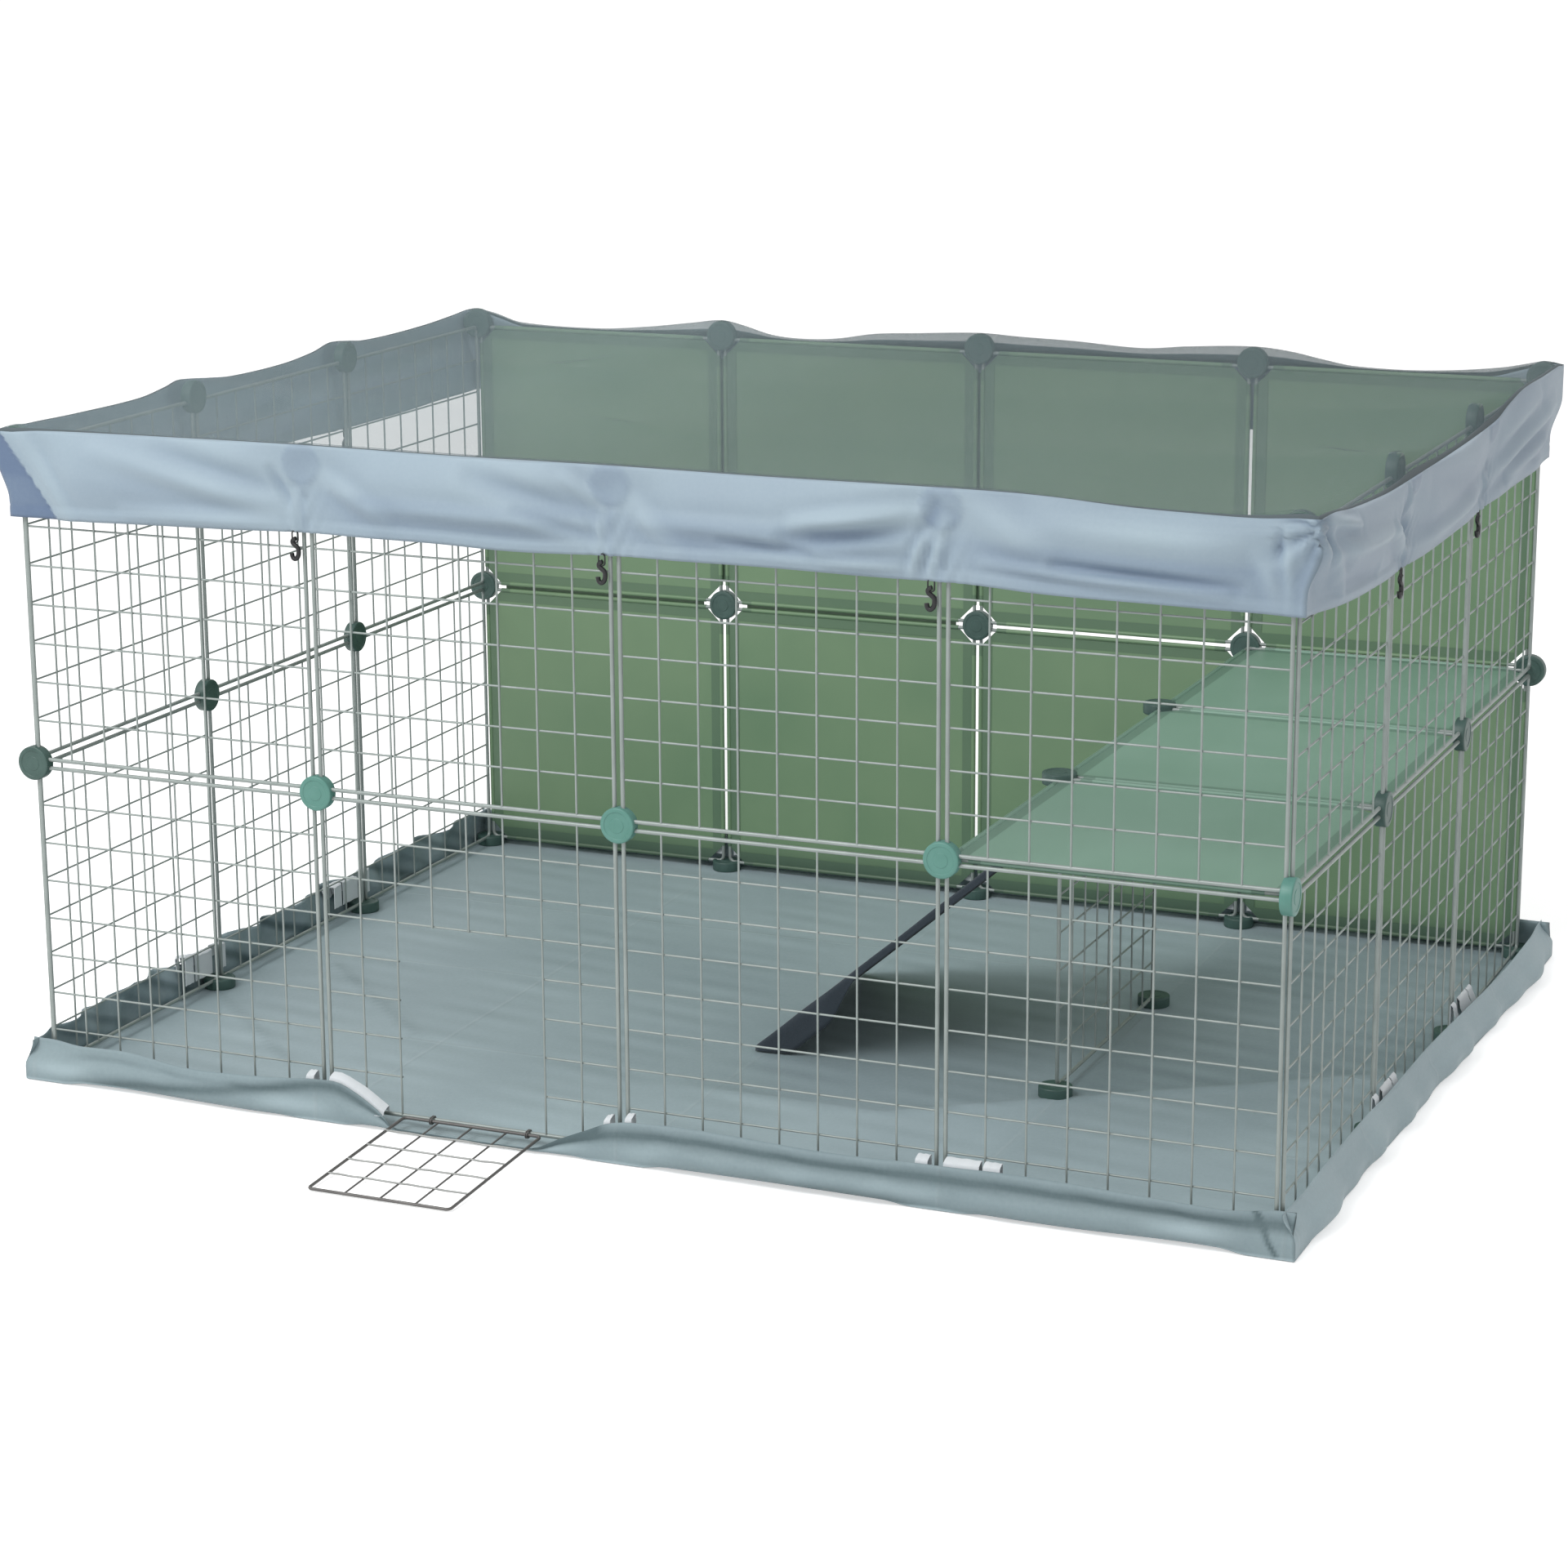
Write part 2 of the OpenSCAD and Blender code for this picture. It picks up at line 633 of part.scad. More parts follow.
in_front(1, 1) wire_panel();  // front_grid_low_1
in_front(door_column, 1) door_panel();  // front_door_panel
in_front(3, 1) wire_panel();  // front_grid_low_3
in_front(4, 1) wire_panel();  // front_grid_low_4
in_front(1, 2) wire_panel();  // front_grid_high_1
in_front(2, 2) wire_panel();  // front_grid_high_2
in_front(3, 2) wire_panel();  // front_grid_high_3
in_front(4, 2) wire_panel();  // front_grid_high_4
in_side(-1, 1, 1) wire_panel();  // left_grid_low_1
in_side(-1, 2, 1) wire_panel();  // left_grid_low_2
in_side(-1, 3, 1) wire_panel();  // left_grid_low_3
in_side(-1, 1, 2) wire_panel();  // left_grid_high_1
in_side(-1, 2, 2) wire_panel();  // left_grid_high_2
in_side(-1, 3, 2) wire_panel();  // left_grid_high_3
in_side(1, 1, 1) wire_panel();  // right_grid_low_1
in_side(1, 2, 1) wire_panel();  // right_grid_low_2
in_side(1, 3, 1) wire_panel();  // right_grid_low_3
in_side(1, 1, 2) wire_panel();  // right_grid_high_1
in_side(1, 2, 2) wire_panel();  // right_grid_high_2
in_side(1, 3, 2) wire_panel();  // right_grid_high_3
color("silver") for (c = [1 : n_wide]) in_back(c, 1) rod_frame();  // back_frames_low
color("silver") for (c = [1 : n_wide]) in_back(c, 2) rod_frame();  // back_frames_high
in_back(1, 1) sheet(back_green);  // back_sheet_low_1
in_back(2, 1) sheet(back_green);  // back_sheet_low_2
in_back(3, 1) sheet(back_green);  // back_sheet_low_3
in_back(4, 1) sheet(back_green);  // back_sheet_low_4
in_back(1, 2) sheet(back_green);  // back_sheet_high_1
in_back(2, 2) sheet(back_green);  // back_sheet_high_2
in_back(3, 2) sheet(back_green);  // back_sheet_high_3
in_back(4, 2) sheet(back_green);  // back_sheet_high_4
color("silver") for (c = [1 : n_deep]) on_shelf(c) rod_frame();  // shelf_frames
on_shelf(1) sheet(shelf_green);  // shelf_sheet_1
on_shelf(2) sheet(shelf_green);  // shelf_sheet_2
on_shelf(3) sheet(shelf_green);  // shelf_sheet_3
translate([pitch, 0, base_z + pitch / 2]) rotate([0, 0, 90]) support_panel();  // shelf_support_grid
connectors(0, true, "darkgreen");  // connectors_low
connectors(1, true, "cadetblue");  // connectors_mid
connectors(2, false, "darkgreen");  // connectors_top
door_grid();
door_hinge_rings();
ramp_frame();
ramp_mat();
ramp_hooks();
floor_mat();
mat_rim_front();
mat_rim_back();
mat_rim_side(-1);  // mat_rim_left
mat_rim_side(1);  // mat_rim_right
mat_tabs();
roof_net();
skirt_front();
skirt_back();
skirt_side(-1);  // skirt_left
skirt_side(1);  // skirt_right
tie_loops();
tie_hooks();
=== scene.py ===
"""Rabbit playpen: wire panels, plastic sheets, a shelf with a ramp, a floor mat and a net cover."""

import math
import random

import bpy
from mathutils import Matrix, Vector


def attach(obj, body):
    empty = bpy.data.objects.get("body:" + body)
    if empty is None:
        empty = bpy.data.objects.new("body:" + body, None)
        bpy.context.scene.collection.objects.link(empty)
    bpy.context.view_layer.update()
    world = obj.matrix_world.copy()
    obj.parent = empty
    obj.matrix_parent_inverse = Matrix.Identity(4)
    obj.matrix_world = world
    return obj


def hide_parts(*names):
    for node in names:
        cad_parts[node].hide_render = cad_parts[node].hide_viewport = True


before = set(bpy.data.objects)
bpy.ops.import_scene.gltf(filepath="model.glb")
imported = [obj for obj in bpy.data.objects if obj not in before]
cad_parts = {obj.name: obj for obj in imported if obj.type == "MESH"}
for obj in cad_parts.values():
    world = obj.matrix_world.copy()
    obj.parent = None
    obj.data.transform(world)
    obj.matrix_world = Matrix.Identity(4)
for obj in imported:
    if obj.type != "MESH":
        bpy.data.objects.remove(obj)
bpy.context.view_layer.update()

# Camera
# The pen is seen from the front and a little to the right, from above the height of its roof.
# A long lens keeps the walls nearly parallel.
bearing, dip, roll = math.radians(23.17), math.radians(14.36), math.radians(-0.32)
sight = Vector((-math.sin(bearing) * math.cos(dip), math.cos(bearing) * math.cos(dip), -math.sin(dip)))
level = Vector((math.cos(bearing), math.sin(bearing), 0))
upright = level.cross(sight)
side = math.cos(roll) * level + math.sin(roll) * upright
top = math.cos(roll) * upright - math.sin(roll) * level
camera = bpy.data.objects.new("camera", bpy.data.cameras.new("camera"))
camera.matrix_world = Matrix.Translation((1.6188, -3.8837, 1.3565)) @ Matrix(
    (side, top, -sight)).transposed().to_4x4()
camera.data.lens = 86.0
camera.data.sensor_width = 36.0
camera.data.clip_end = 300.0
bpy.context.scene.collection.objects.link(camera)
bpy.context.scene.camera = camera

# Wire panels
# Square panels of welded steel wire in a frame of thicker rod with bent corners, all under a
# grey baked coating. The bottom rod of the panel with the doorway carries the door.
panel_side, panel_gap = 0.350, 0.005
rod, wire = 0.0045, 0.0022
cells = 8
rod_side = panel_side - rod
cell = rod_side / cells
pitch = panel_side + panel_gap
half_x, half_y = 2 * pitch, 1.5 * pitch
mat_t, disc_t, disc_r = 0.001, 0.013, 0.019
base_z = mat_t + disc_t / 2
tiers = (("low", base_z + pitch / 2), ("high", base_z + 1.5 * pitch))
sunk = wire / 2 - 0.00015
edge, inner_corner = rod_side / 2, 0.007
UPRIGHT = (math.radians(90), 0, 0)


def alone(piece):
    """Leaves only this piece selected and active."""
    bpy.ops.object.select_all(action="DESELECT")
    piece.select_set(True)
    bpy.context.view_layer.objects.active = piece


def applied(piece, kind, **settings):
    """Puts a modifier on a piece and applies it."""
    alone(piece)
    made = piece.modifiers.new(kind.lower(), kind)
    for name, value in settings.items():
        setattr(made, name, value)
    bpy.ops.object.modifier_apply(modifier=made.name)


def added(add, scale=(1, 1, 1), **settings):
    """Adds a simple mesh, alone selected, with its place, turn and scale applied."""
    bpy.ops.object.select_all(action="DESELECT")
    add(**settings)
    piece = bpy.context.object
    piece.scale = scale
    bpy.ops.object.transform_apply()
    return piece


def mode(name):
    bpy.ops.object.mode_set(mode=name)


def rod_loop(wide, tall, thick, corner, turn=UPRIGHT, bends=5, sides=4):
    """A rod bent to a closed rectangle with round corners, about the origin."""
    added(bpy.ops.mesh.primitive_plane_add, (wide, tall, 1), size=1, rotation=turn)
    mode("EDIT")
    bpy.ops.mesh.select_all(action="SELECT")
    bpy.ops.mesh.bevel(offset=corner, segments=bends, affect="VERTICES")
    bpy.ops.mesh.delete(type="ONLY_FACE")
    mode("OBJECT")
    bpy.ops.object.convert(target="CURVE")
    loop = bpy.context.object
    loop.data.dimensions = "3D"
    loop.data.bevel_depth = thick / 2
    loop.data.bevel_resolution = sides
    bpy.ops.object.convert(target="MESH")
    return bpy.context.object


def wire_row(start, end, step, count):
    """Straight wires side by side: one from start to end, repeated count times by step."""
    start, end = Vector(start), Vector(end)
    turn = Vector((0, 0, 1)).rotation_difference(end - start).to_euler()
    row = added(bpy.ops.mesh.primitive_cylinder_add, vertices=10, radius=wire / 2,
                depth=(end - start).length, location=(start + end) / 2, rotation=turn)
    if count > 1:
        applied(row, "ARRAY", count=count, use_relative_offset=False,
                use_constant_offset=True, constant_offset_displace=step)
    return row


def joined(name, parts):
    """Makes several objects one piece, smooth but for its sharp edges."""
    alone(parts[0])
    for part in parts[1:]:
        part.select_set(True)
    if len(parts) > 1:
        bpy.ops.object.join()
    piece = bpy.context.object
    piece.name = piece.data.name = name
    bpy.ops.object.shade_smooth_by_angle(angle=math.radians(40))
    return piece


def copy_at(piece, name, place):
    """A copy with its own mesh, moved to its place."""
    twin = piece.copy()
    twin.data = piece.data.copy()
    twin.name = twin.data.name = name
    twin.data.transform(place)
    bpy.context.scene.collection.objects.link(twin)
    return twin


def at(x, y, z, turn=0.0, axis="Z"):
    """A move to a place, after a turn in degrees."""
    return Matrix.Translation((x, y, z)) @ Matrix.Rotation(math.radians(turn), 4, axis)


def wire_at(i):
    """Place of a cell line across a panel, from its middle."""
    return i * cell - edge


def srgb(red, green, blue):
    """The linear colour that shows as these 0 to 255 values."""
    return tuple(((v / 255 + 0.055) / 1.055) ** 2.4 for v in (red, green, blue)) + (1.0,)


class Value:
    """A socket of some nodes; sums and products of values add Math nodes."""

    def __init__(self, nodes, socket):
        self.nodes, self.socket = nodes, socket

    def maths(self, operation, *terms, clamp=False):
        return self.nodes.node(
            "Math", dict(enumerate(terms)), operation=operation, use_clamp=clamp)

    def __add__(self, other):
        return self.maths("ADD", self, other)

    def __sub__(self, other):
        return self.maths("SUBTRACT", self, other)

    def __rsub__(self, other):
        return self.maths("SUBTRACT", other, self)

    def __mul__(self, other):
        return self.maths("MULTIPLY", self, other)

    __radd__ = __add__

    def sine(self):
        return self.maths("SINE", self)

    def clamped(self):
        return self.maths("ADD", self, 0.0, clamp=True)


class Nodes:
    """The nodes of a material or of the world, empty at first."""

    def __init__(self, owner):
        owner.use_nodes = True
        self.tree = owner.node_tree
        self.tree.nodes.clear()

    def feed(self, socket, value):
        if isinstance(value, Value):
            self.tree.links.new(value.socket, socket)
        else:
            socket.default_value = value

    def node(self, kind, inputs=None, out=0, **settings):
        """Adds a node, sets it and feeds its inputs, and gives one of its outputs."""
        made = self.tree.nodes.new("ShaderNode" + kind)
        for name, value in settings.items():
            setattr(made, name, value)
        for name, value in (inputs or {}).items():
            self.feed(made.inputs[name], value)
        return Value(self, made.outputs[out]) if made.outputs else None

    def axes(self, vector):
        """The three parts of a vector."""
        made = self.tree.nodes.new("ShaderNodeSeparateXYZ")
        self.feed(made.inputs[0], vector)
        return [Value(self, part) for part in made.outputs]


class Finish(Nodes):
    """A material with one Principled shader."""

    def __init__(self, name, **shader):
        self.material = bpy.data.materials.new(name)
        super().__init__(self.material)
        self.shader = self.tree.nodes.new("ShaderNodeBsdfPrincipled")
        self.node("OutputMaterial", {"Surface": Value(self, self.shader.outputs[0])})
        self.set(**shader)

    def set(self, **inputs):
        for name, value in inputs.items():
            self.feed(self.shader.inputs[name.replace("_", " ")], value)

    def place(self):
        return self.node("TexCoord", out="Object")

    def noise(self, scale, detail):
        return self.node("TexNoise", {"Vector": self.place(), "Scale": scale, "Detail": detail}, "Fac")

    def blend(self, amount, first, second):
        return self.node("Mix", {0: amount, 6: first, 7: second}, 2, data_type="RGBA")

    def bump(self, height, distance, strength):
        self.set(Normal=self.node(
            "Bump", {"Strength": strength, "Distance": distance, "Height": height}, "Normal"))


def wire_finish(name, tint, dull):
    """Baked coating on wire: even, a little uneven in colour, with a faint orange-peel skin."""
    coat = Finish(name, Metallic=0.25, Specular_IOR_Level=0.5)
    cloud = coat.noise(38.0, 3.0)
    grain = coat.noise(900.0, 2.0)
    coat.set(
        Base_Color=coat.blend((cloud * 1.6 - 0.3).clamped(), tint, dull),
        Roughness=0.34 + grain * 0.16)
    coat.bump(grain, 0.00015, 0.35)
    return coat.material


wire_coat = wire_finish("grey wire coating", srgb(151, 160, 157), srgb(133, 142, 139))


def coated(piece, finish):
    """Gives a piece one finish all over."""
    piece.data.materials.clear()
    piece.data.materials.append(finish)


def shown(piece, finish, slot, body, *nodes):
    """Gives a piece its finish and its body, and hides the nodes that it stands for. slot is not used.
    """
    if finish is not None:
        coated(piece, finish)
    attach(piece, body)
    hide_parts(*nodes)


def uprights(first, count, low=-edge):
    """Upright wires of a panel, from one cell line on."""
    x = wire_at(first)
    return wire_row((x, -sunk, low), (x, -sunk, edge), (cell, 0, 0), count)


def levels(first, count, left=-edge, right=edge, depth=sunk):
    """Level wires of a panel behind its upright ones, from one cell line on."""
    z = wire_at(first)
    return wire_row((left, depth, z), (right, depth, z), (0, 0, cell), count)


def panel(name, *wires):
    """A square of rod with its wires, about the origin."""
    return joined(name, [rod_loop(rod_side, rod_side, rod, inner_corner), *wires])


def stood(square, name, node, *place):
    """Stands a copy of a panel in its place in the pen."""
    shown(copy_at(square, name, at(*place)), wire_coat, "wire", "pen", node)


grid = panel("grid", uprights(1, cells - 1), levels(1, cells - 1))
for row, z in tiers:
    for column in range(1, 5):
        if (row, column) != ("low", 2):
            node = f"front_grid_{row}_{column}"
            stood(grid, node + "_wires", node, (column - 2.5) * pitch, -half_y, z)
    for name, x in (("left", -half_x), ("right", half_x)):
        for column in range(1, 4):
            node = f"{name}_grid_{row}_{column}"
            stood(grid, node + "_wires", node, x, (column - 2) * pitch, z, 90)
bpy.data.objects.remove(grid)

# Cells left of the doorway, and its width and height in cells
door_first, door_wide, door_tall = 2, 4, 5
door_last = door_first + door_wide
doorway = panel(
    "doorway", uprights(1, door_first), uprights(door_last, cells - door_last),
    uprights(door_first + 1, door_wide - 1, wire_at(door_tall) - wire / 2),
    levels(door_tall, cells - door_tall),
    levels(1, door_tall - 1, right=wire_at(door_first) + wire / 2),
    levels(1, door_tall - 1, left=wire_at(door_last) - wire / 2))
stood(doorway, "door_panel_wires", "front_door_panel", -pitch / 2, -half_y, base_z + pitch / 2)
bpy.data.objects.remove(doorway)

# Grid under the shelf
# One more wire panel stands under the shelf's inner edge and carries it. The ramp hooks onto its
# second level wire from the top.
ramp_row = 7
hook_wire_depth = wire / 2 - 0.0002
support = panel("support", uprights(1, cells - 1), levels(1, ramp_row - 1),
                levels(ramp_row, 1, depth=hook_wire_depth))
stood(support, "support_grid_wires", "shelf_support_grid", pitch, 0, base_z + pitch / 2, 90)
bpy.data.objects.remove(support)

# Back and shelf frames
# The back wall and the shelf have the same rod frames without any mesh: plastic sheets fill them.
bare = panel("bare")
for row, z in tiers:
    frames = joined(f"back_frames_{row}_rods", [
        copy_at(bare, "rods", at((c - 2.5) * pitch, half_y, z)) for c in range(1, 5)])
    shown(frames, wire_coat, "wire", "pen", "back_frames_" + row)
frames = joined("shelf_frames_rods", [
    copy_at(bare, "rods", at(half_x - pitch / 2, (c - 2) * pitch, base_z + pitch, 90, "X"))
    for c in range(1, 4)])
shown(frames, wire_coat, "wire", "pen", "shelf_frames")
bpy.data.objects.remove(bare)

# Plastic sheets
# Thin green polypropylene, one sheet to a frame. Each edge is folded round its rod and welded
# back on itself as a double border, and the corners are cut off for the connectors.
sheet_t, border_w, cut_reach, weld_gap = 0.0005, 0.015, 0.031, 0.0001
joint_off = (pitch - rod_side) / 2
corner_at = edge + joint_off
flap_y, flap_in = rod / 2 + 0.0016, corner_at - cut_reach
gap_end = corner_at + joint_off


def cut(point, normal, clear_outer):
    """Cuts the sheet across at a point, and takes the outside away if asked."""
    bpy.ops.mesh.select_all(action="SELECT")
    bpy.ops.mesh.bisect(plane_co=point, plane_no=normal, clear_outer=clear_outer)


def plastic_sheet(bow):
    """One sheet about the origin, upright, bowed by that much in its middle."""
    plate = added(bpy.ops.mesh.primitive_grid_add, x_subdivisions=24, y_subdivisions=24,
                  size=rod_side, rotation=UPRIGHT)
    inside, corner = edge - border_w, corner_at - cut_reach / 2
    mode("EDIT")
    for s in (-1, 1):
        cut((s * inside, 0, 0), (s, 0, 0), False)
        cut((0, 0, s * inside), (0, 0, s), False)
        for t in (-1, 1):
            cut((s * corner, 0, t * corner), (s, 0, t), True)
    mode("OBJECT")
    hem = copy_at(plate, "hem", at(0, -sheet_t - weld_gap, 0))
    alone(hem)
    for face in hem.data.polygons:
        face.select = max(abs(face.center.x), abs(face.center.z)) < inside
    mode("EDIT")
    bpy.ops.mesh.select_mode(type="FACE")
    bpy.ops.mesh.delete(type="FACE")
    bpy.ops.mesh.select_mode(type="VERT")
    mode("OBJECT")
    for point in plate.data.vertices:
        u, v = point.co.x / edge, point.co.z / edge
        room = (1 - u * u) * (1 - v * v)
        point.co.y += bow * room * (1 + 0.35 * math.sin(2.3 * u + 1.1 * v))
    for part in (plate, hem):
        applied(part, "SOLIDIFY", thickness=sheet_t, offset=0)
    sleeves = []
    for turn in range(4):
        sleeve = added(bpy.ops.mesh.primitive_cylinder_add, vertices=16,
                       radius=rod / 2 + weld_gap + sheet_t, depth=2 * (flap_in + joint_off),
                       end_fill_type="NOTHING", location=(edge, 0, 0))
        applied(sleeve, "SOLIDIFY", thickness=sheet_t, offset=-1)
        sleeve.data.transform(Matrix.Rotation(math.radians(90 * turn), 4, "Y"))
        sleeves.append(sleeve)
    return joined("sheet", [plate, hem] + sleeves)


def flap(left, right, low, high):
    """A strip of the same plastic outside the frames, over the gap beside a sheet."""
    strip = added(bpy.ops.mesh.primitive_grid_add, (right - left, high - low, 1),
                  x_subdivisions=12, y_subdivisions=12, size=1, rotation=UPRIGHT)
    strip.data.transform(at((left + right) / 2, flap_y, (low + high) / 2))
    for loop in strip.data.uv_layers[0].data:
        loop.uv = (0.0, 0.5)
    applied(strip, "SOLIDIFY", thickness=sheet_t, offset=0)
    return strip


def sheet_finish(name, tint, pale):
    """Frosted polypropylene: cloudy, satin, darker where it is double, with painted shade low down by
    the mat.
    """
    film = Finish(name, Specular_IOR_Level=0.45, Alpha=0.94)
    across, along, _ = film.axes(film.node("TexCoord", out="UV"))
    sides = [part.maths("ABSOLUTE", part) for part in (across - 0.5, along - 0.5)]
    double = ((across.maths("MAXIMUM", *sides) - 0.455) * 400.0).clamped()
    cloud = film.noise(7.0, 2.0)
    grain = film.noise(1400.0, 1.0)
    body = film.blend((cloud * 1.7 - 0.35).clamped(), tint, pale)
    body = film.blend(double * 0.45, body, srgb(66, 92, 80))
    # Painted shade: within about 5 cm of the ground the sheet is blended towards a dark green.
    height = film.axes(film.place())[2]
    film.set(
        Base_Color=film.blend((1.4 - height * 30.0).clamped() * 0.6, body, srgb(48, 66, 62)),
        Roughness=0.36 + cloud * 0.12)
    film.bump(grain + cloud * 6.0, 0.0002, 0.25)
    return film.material


def filled(flat, film, slot, node, place):
    """Puts a sheet in its frame."""
    flat.data.transform(place)
    flat.name = node + "_film"
    shown(flat, film, slot, "pen", node)


back_film = sheet_finish("back sheet plastic", srgb(106, 137, 105), srgb(120, 148, 114))
shelf_film = sheet_finish("shelf sheet plastic", srgb(116, 151, 133), srgb(128, 160, 144))
flaps = {"low": (-flap_in, flap_in, edge - 0.019, gap_end + 0.009),
         "high": (edge - 0.010, gap_end + 0.010, -flap_in, flap_in)}
for row, z in tiers:
    for column in range(1, 5):
        flat = plastic_sheet(0.0016 * (-1) ** column)
        if column < 3:
            flat = joined("sheet", [flat, flap(*flaps[row])])
        filled(flat, back_film, "back_sheet", f"back_sheet_{row}_{column}",
               at((column - 2.5) * pitch, half_y, z))
for column in range(1, 4):
    flat = plastic_sheet(0.002)
    flat.visible_shadow = flat.visible_diffuse = False
    filled(flat, shelf_film, "shelf_sheet", f"shelf_sheet_{column}",
           at(half_x - pitch / 2, (column - 2) * pitch, base_z + pitch, 90, "X"))

# Connectors
# Round moulded plastic blocks with a soft edge and a sunk face. The frames' corners push into
# slots round the rim. They lie flat on the mat, and stand in the plane of the wall higher up. The
# half-way one at the shelf's front corner stands in the side wall's plane.
disc = added(bpy.ops.mesh.primitive_cylinder_add, vertices=40, radius=disc_r, depth=disc_t)
mode("EDIT")
bpy.ops.mesh.select_mode(type="FACE")
mode("OBJECT")
for face in disc.data.polygons:
    face.select = abs(face.normal.z) > 0.9
mode("EDIT")
bpy.ops.mesh.bevel(offset=0.0016, segments=3, affect="EDGES")
mode("OBJECT")
for face in disc.data.polygons:
    face.select = abs(face.normal.z) > 0.99 and len(face.vertices) > 30
mode("EDIT")
for inward, rise in ((0.0028, 0), (0.0005, -0.0005), (0.0062, 0), (0.0004, 0.0004)):
    bpy.ops.mesh.inset(thickness=inward, depth=rise)
mode("OBJECT")
disc = joined("disc", [disc])


def moulded(name, tint, worn):
    """Satin moulded plastic with a fine skin, paler in soft patches."""
    plastic = Finish(name, Specular_IOR_Level=0.5)
    cloud = plastic.noise(55.0, 3.0)
    skin = plastic.noise(1500.0, 1.0)
    plastic.set(
        Base_Color=plastic.blend((cloud * 2.0 - 0.5).clamped(), tint, worn),
        Roughness=0.38 + cloud * 0.14)
    plastic.bump(skin, 0.0001, 0.3)
    return plastic.material


# Painted light and shade: one plastic in two copies, a paler teal painted as lit and a dark green
# painted as in shade.
lit_copy_plastic = moulded("connector plastic painted lit", srgb(79, 129, 118), srgb(90, 138, 128))
shaded_copy_plastic = moulded("connector plastic painted in shade", srgb(50, 76, 70), srgb(66, 92, 86))


def joints(inner):
    """Joints of the panels seen from above, as columns and rows."""
    outer = [(i, j) for i in range(5) for j in range(4) if i in (0, 4) or j in (0, 3)]
    return outer + ([(3, 1), (3, 2)] if inner else [])


for k, node in enumerate(("connectors_low", "connectors_mid", "connectors_top")):
    discs = []
    for i, j in joints(k < 2):
        lies = k == 0 or (0 < i < 4 and 0 < j < 3)
        in_side_wall = 0 < j < 3 or (k, i, j) == (1, 4, 0)
        one = copy_at(disc, "disc", at((i - 2) * pitch, (j - 1.5) * pitch, base_z + k * pitch,
                                       0 if lies else 90, "Y" if in_side_wall else "X"))
        # The middle-height connectors of the front wall, all but its left corner one, get the lit copy;
        # all others the shaded copy.
        coated(one, lit_copy_plastic if k == 1 and j == 0 and i > 0 else shaded_copy_plastic)
        discs.append(one)
    shown(joined(node + "_discs", discs), None, "connector", "pen", node)
bpy.data.objects.remove(disc)

# Door
# A leaf of wire hung from the bottom rod of its panel by two rings. It has swung down outwards
# and lies on the mat's edge and the ground; its cross wires are a little bent.
door_rod = 0.0034
door_play, ring_play = 0.0015, 0.0003
door_w = door_wide * cell - wire - 2 * door_play
door_len = door_tall * cell - wire / 2 - door_play
bottom_rod_z = base_z + joint_off
oct_corner = 1 / math.cos(math.radians(22.5))
door_near = rod / 2 + ring_play + door_rod / 2 * oct_corner + 0.001
door_far = door_len - door_rod / 2
door_half = (door_w - door_rod) / 2
door_drop = math.degrees(math.asin((bottom_rod_z - 0.0003 - wire) / door_far))
hung = (Matrix.Translation((-pitch / 2, -half_y, bottom_rod_z))
        @ Matrix.Rotation(math.radians(door_drop), 4, "X")
        @ Matrix.Rotation(math.radians(-90), 4, "Z"))


def bent_wire(points, thick):
    """A round wire along a smooth path of points."""
    bpy.ops.object.select_all(action="DESELECT")
    bpy.ops.curve.primitive_nurbs_path_add()
    path = bpy.context.object
    line = path.data.splines[0]
    line.points.add(len(points) - len(line.points))
    for spot, place in zip(line.points, points):
        spot.co = (*place, 1)
    line.order_u = 3
    line.use_endpoint_u = True
    line.resolution_u = 3
    path.data.bevel_depth = thick / 2
    path.data.bevel_resolution = 3
    path.data.use_fill_caps = True
    bpy.ops.object.convert(target="MESH")
    return bpy.context.object


def clasps(name, near_rod, far, far_rod, room, thick, corner, places):
    """Rings that hold a rod at far to one at the origin, with room round them."""
    rings = []
    for y in places:
        ring = rod_loop(far + near_rod / 2 + far_rod / 2 + room[0], rod + room[1], thick, corner,
                        bends=6, sides=3)
        ring.data.transform(at((far + far_rod / 2 - near_rod / 2) / 2, y, 0))
        rings.append(ring)
    return joined(name, rings)


door_coat = wire_finish("door rod coating", srgb(108, 106, 104), srgb(88, 86, 85))
cross_coat = wire_finish("door cross wire coating", srgb(166, 168, 166), srgb(140, 142, 140))
leaf = rod_loop(door_far - door_near, 2 * door_half, door_rod, 0.005, (0, 0, 0))
leaf.data.transform(at((door_near + door_far) / 2, 0, 0))
column_w = 2 * door_half / door_wide
row_h = (door_far - door_near) / door_tall
wires = [leaf, wire_row((door_near, column_w - door_half, -sunk),
                        (door_far, column_w - door_half, -sunk), (0, column_w, 0), 3)]
bends = random.Random(4)
for row in range(1, door_tall):
    x = door_near + row * row_h
    wires.append(bent_wire(
        [(x + bends.uniform(-0.0014, 0.0014) * (0 < n < 12), (n / 6 - 1) * door_half,
          sunk + bends.uniform(-0.0004, 0.0004) * (0 < n < 12)) for n in range(13)], wire))
for n, part in enumerate(wires):
    coated(part, door_coat if n < 2 else cross_coat)
leaf = joined("door_leaf", wires)
leaf.data.transform(hung)
shown(leaf, None, "door_wire", "door", "door_grid")

rings = clasps("door_rings", rod, door_near, door_rod, (0.0022, 0.0024), 0.0016, 0.0033,
               [column * column_w - door_half + shift for column in (0.8, 3.6)
                for shift in (-0.0009, 0.0009)])
rings.data.transform(hung)
shown(rings, door_coat, "door_wire", "door", "door_hinge_rings")

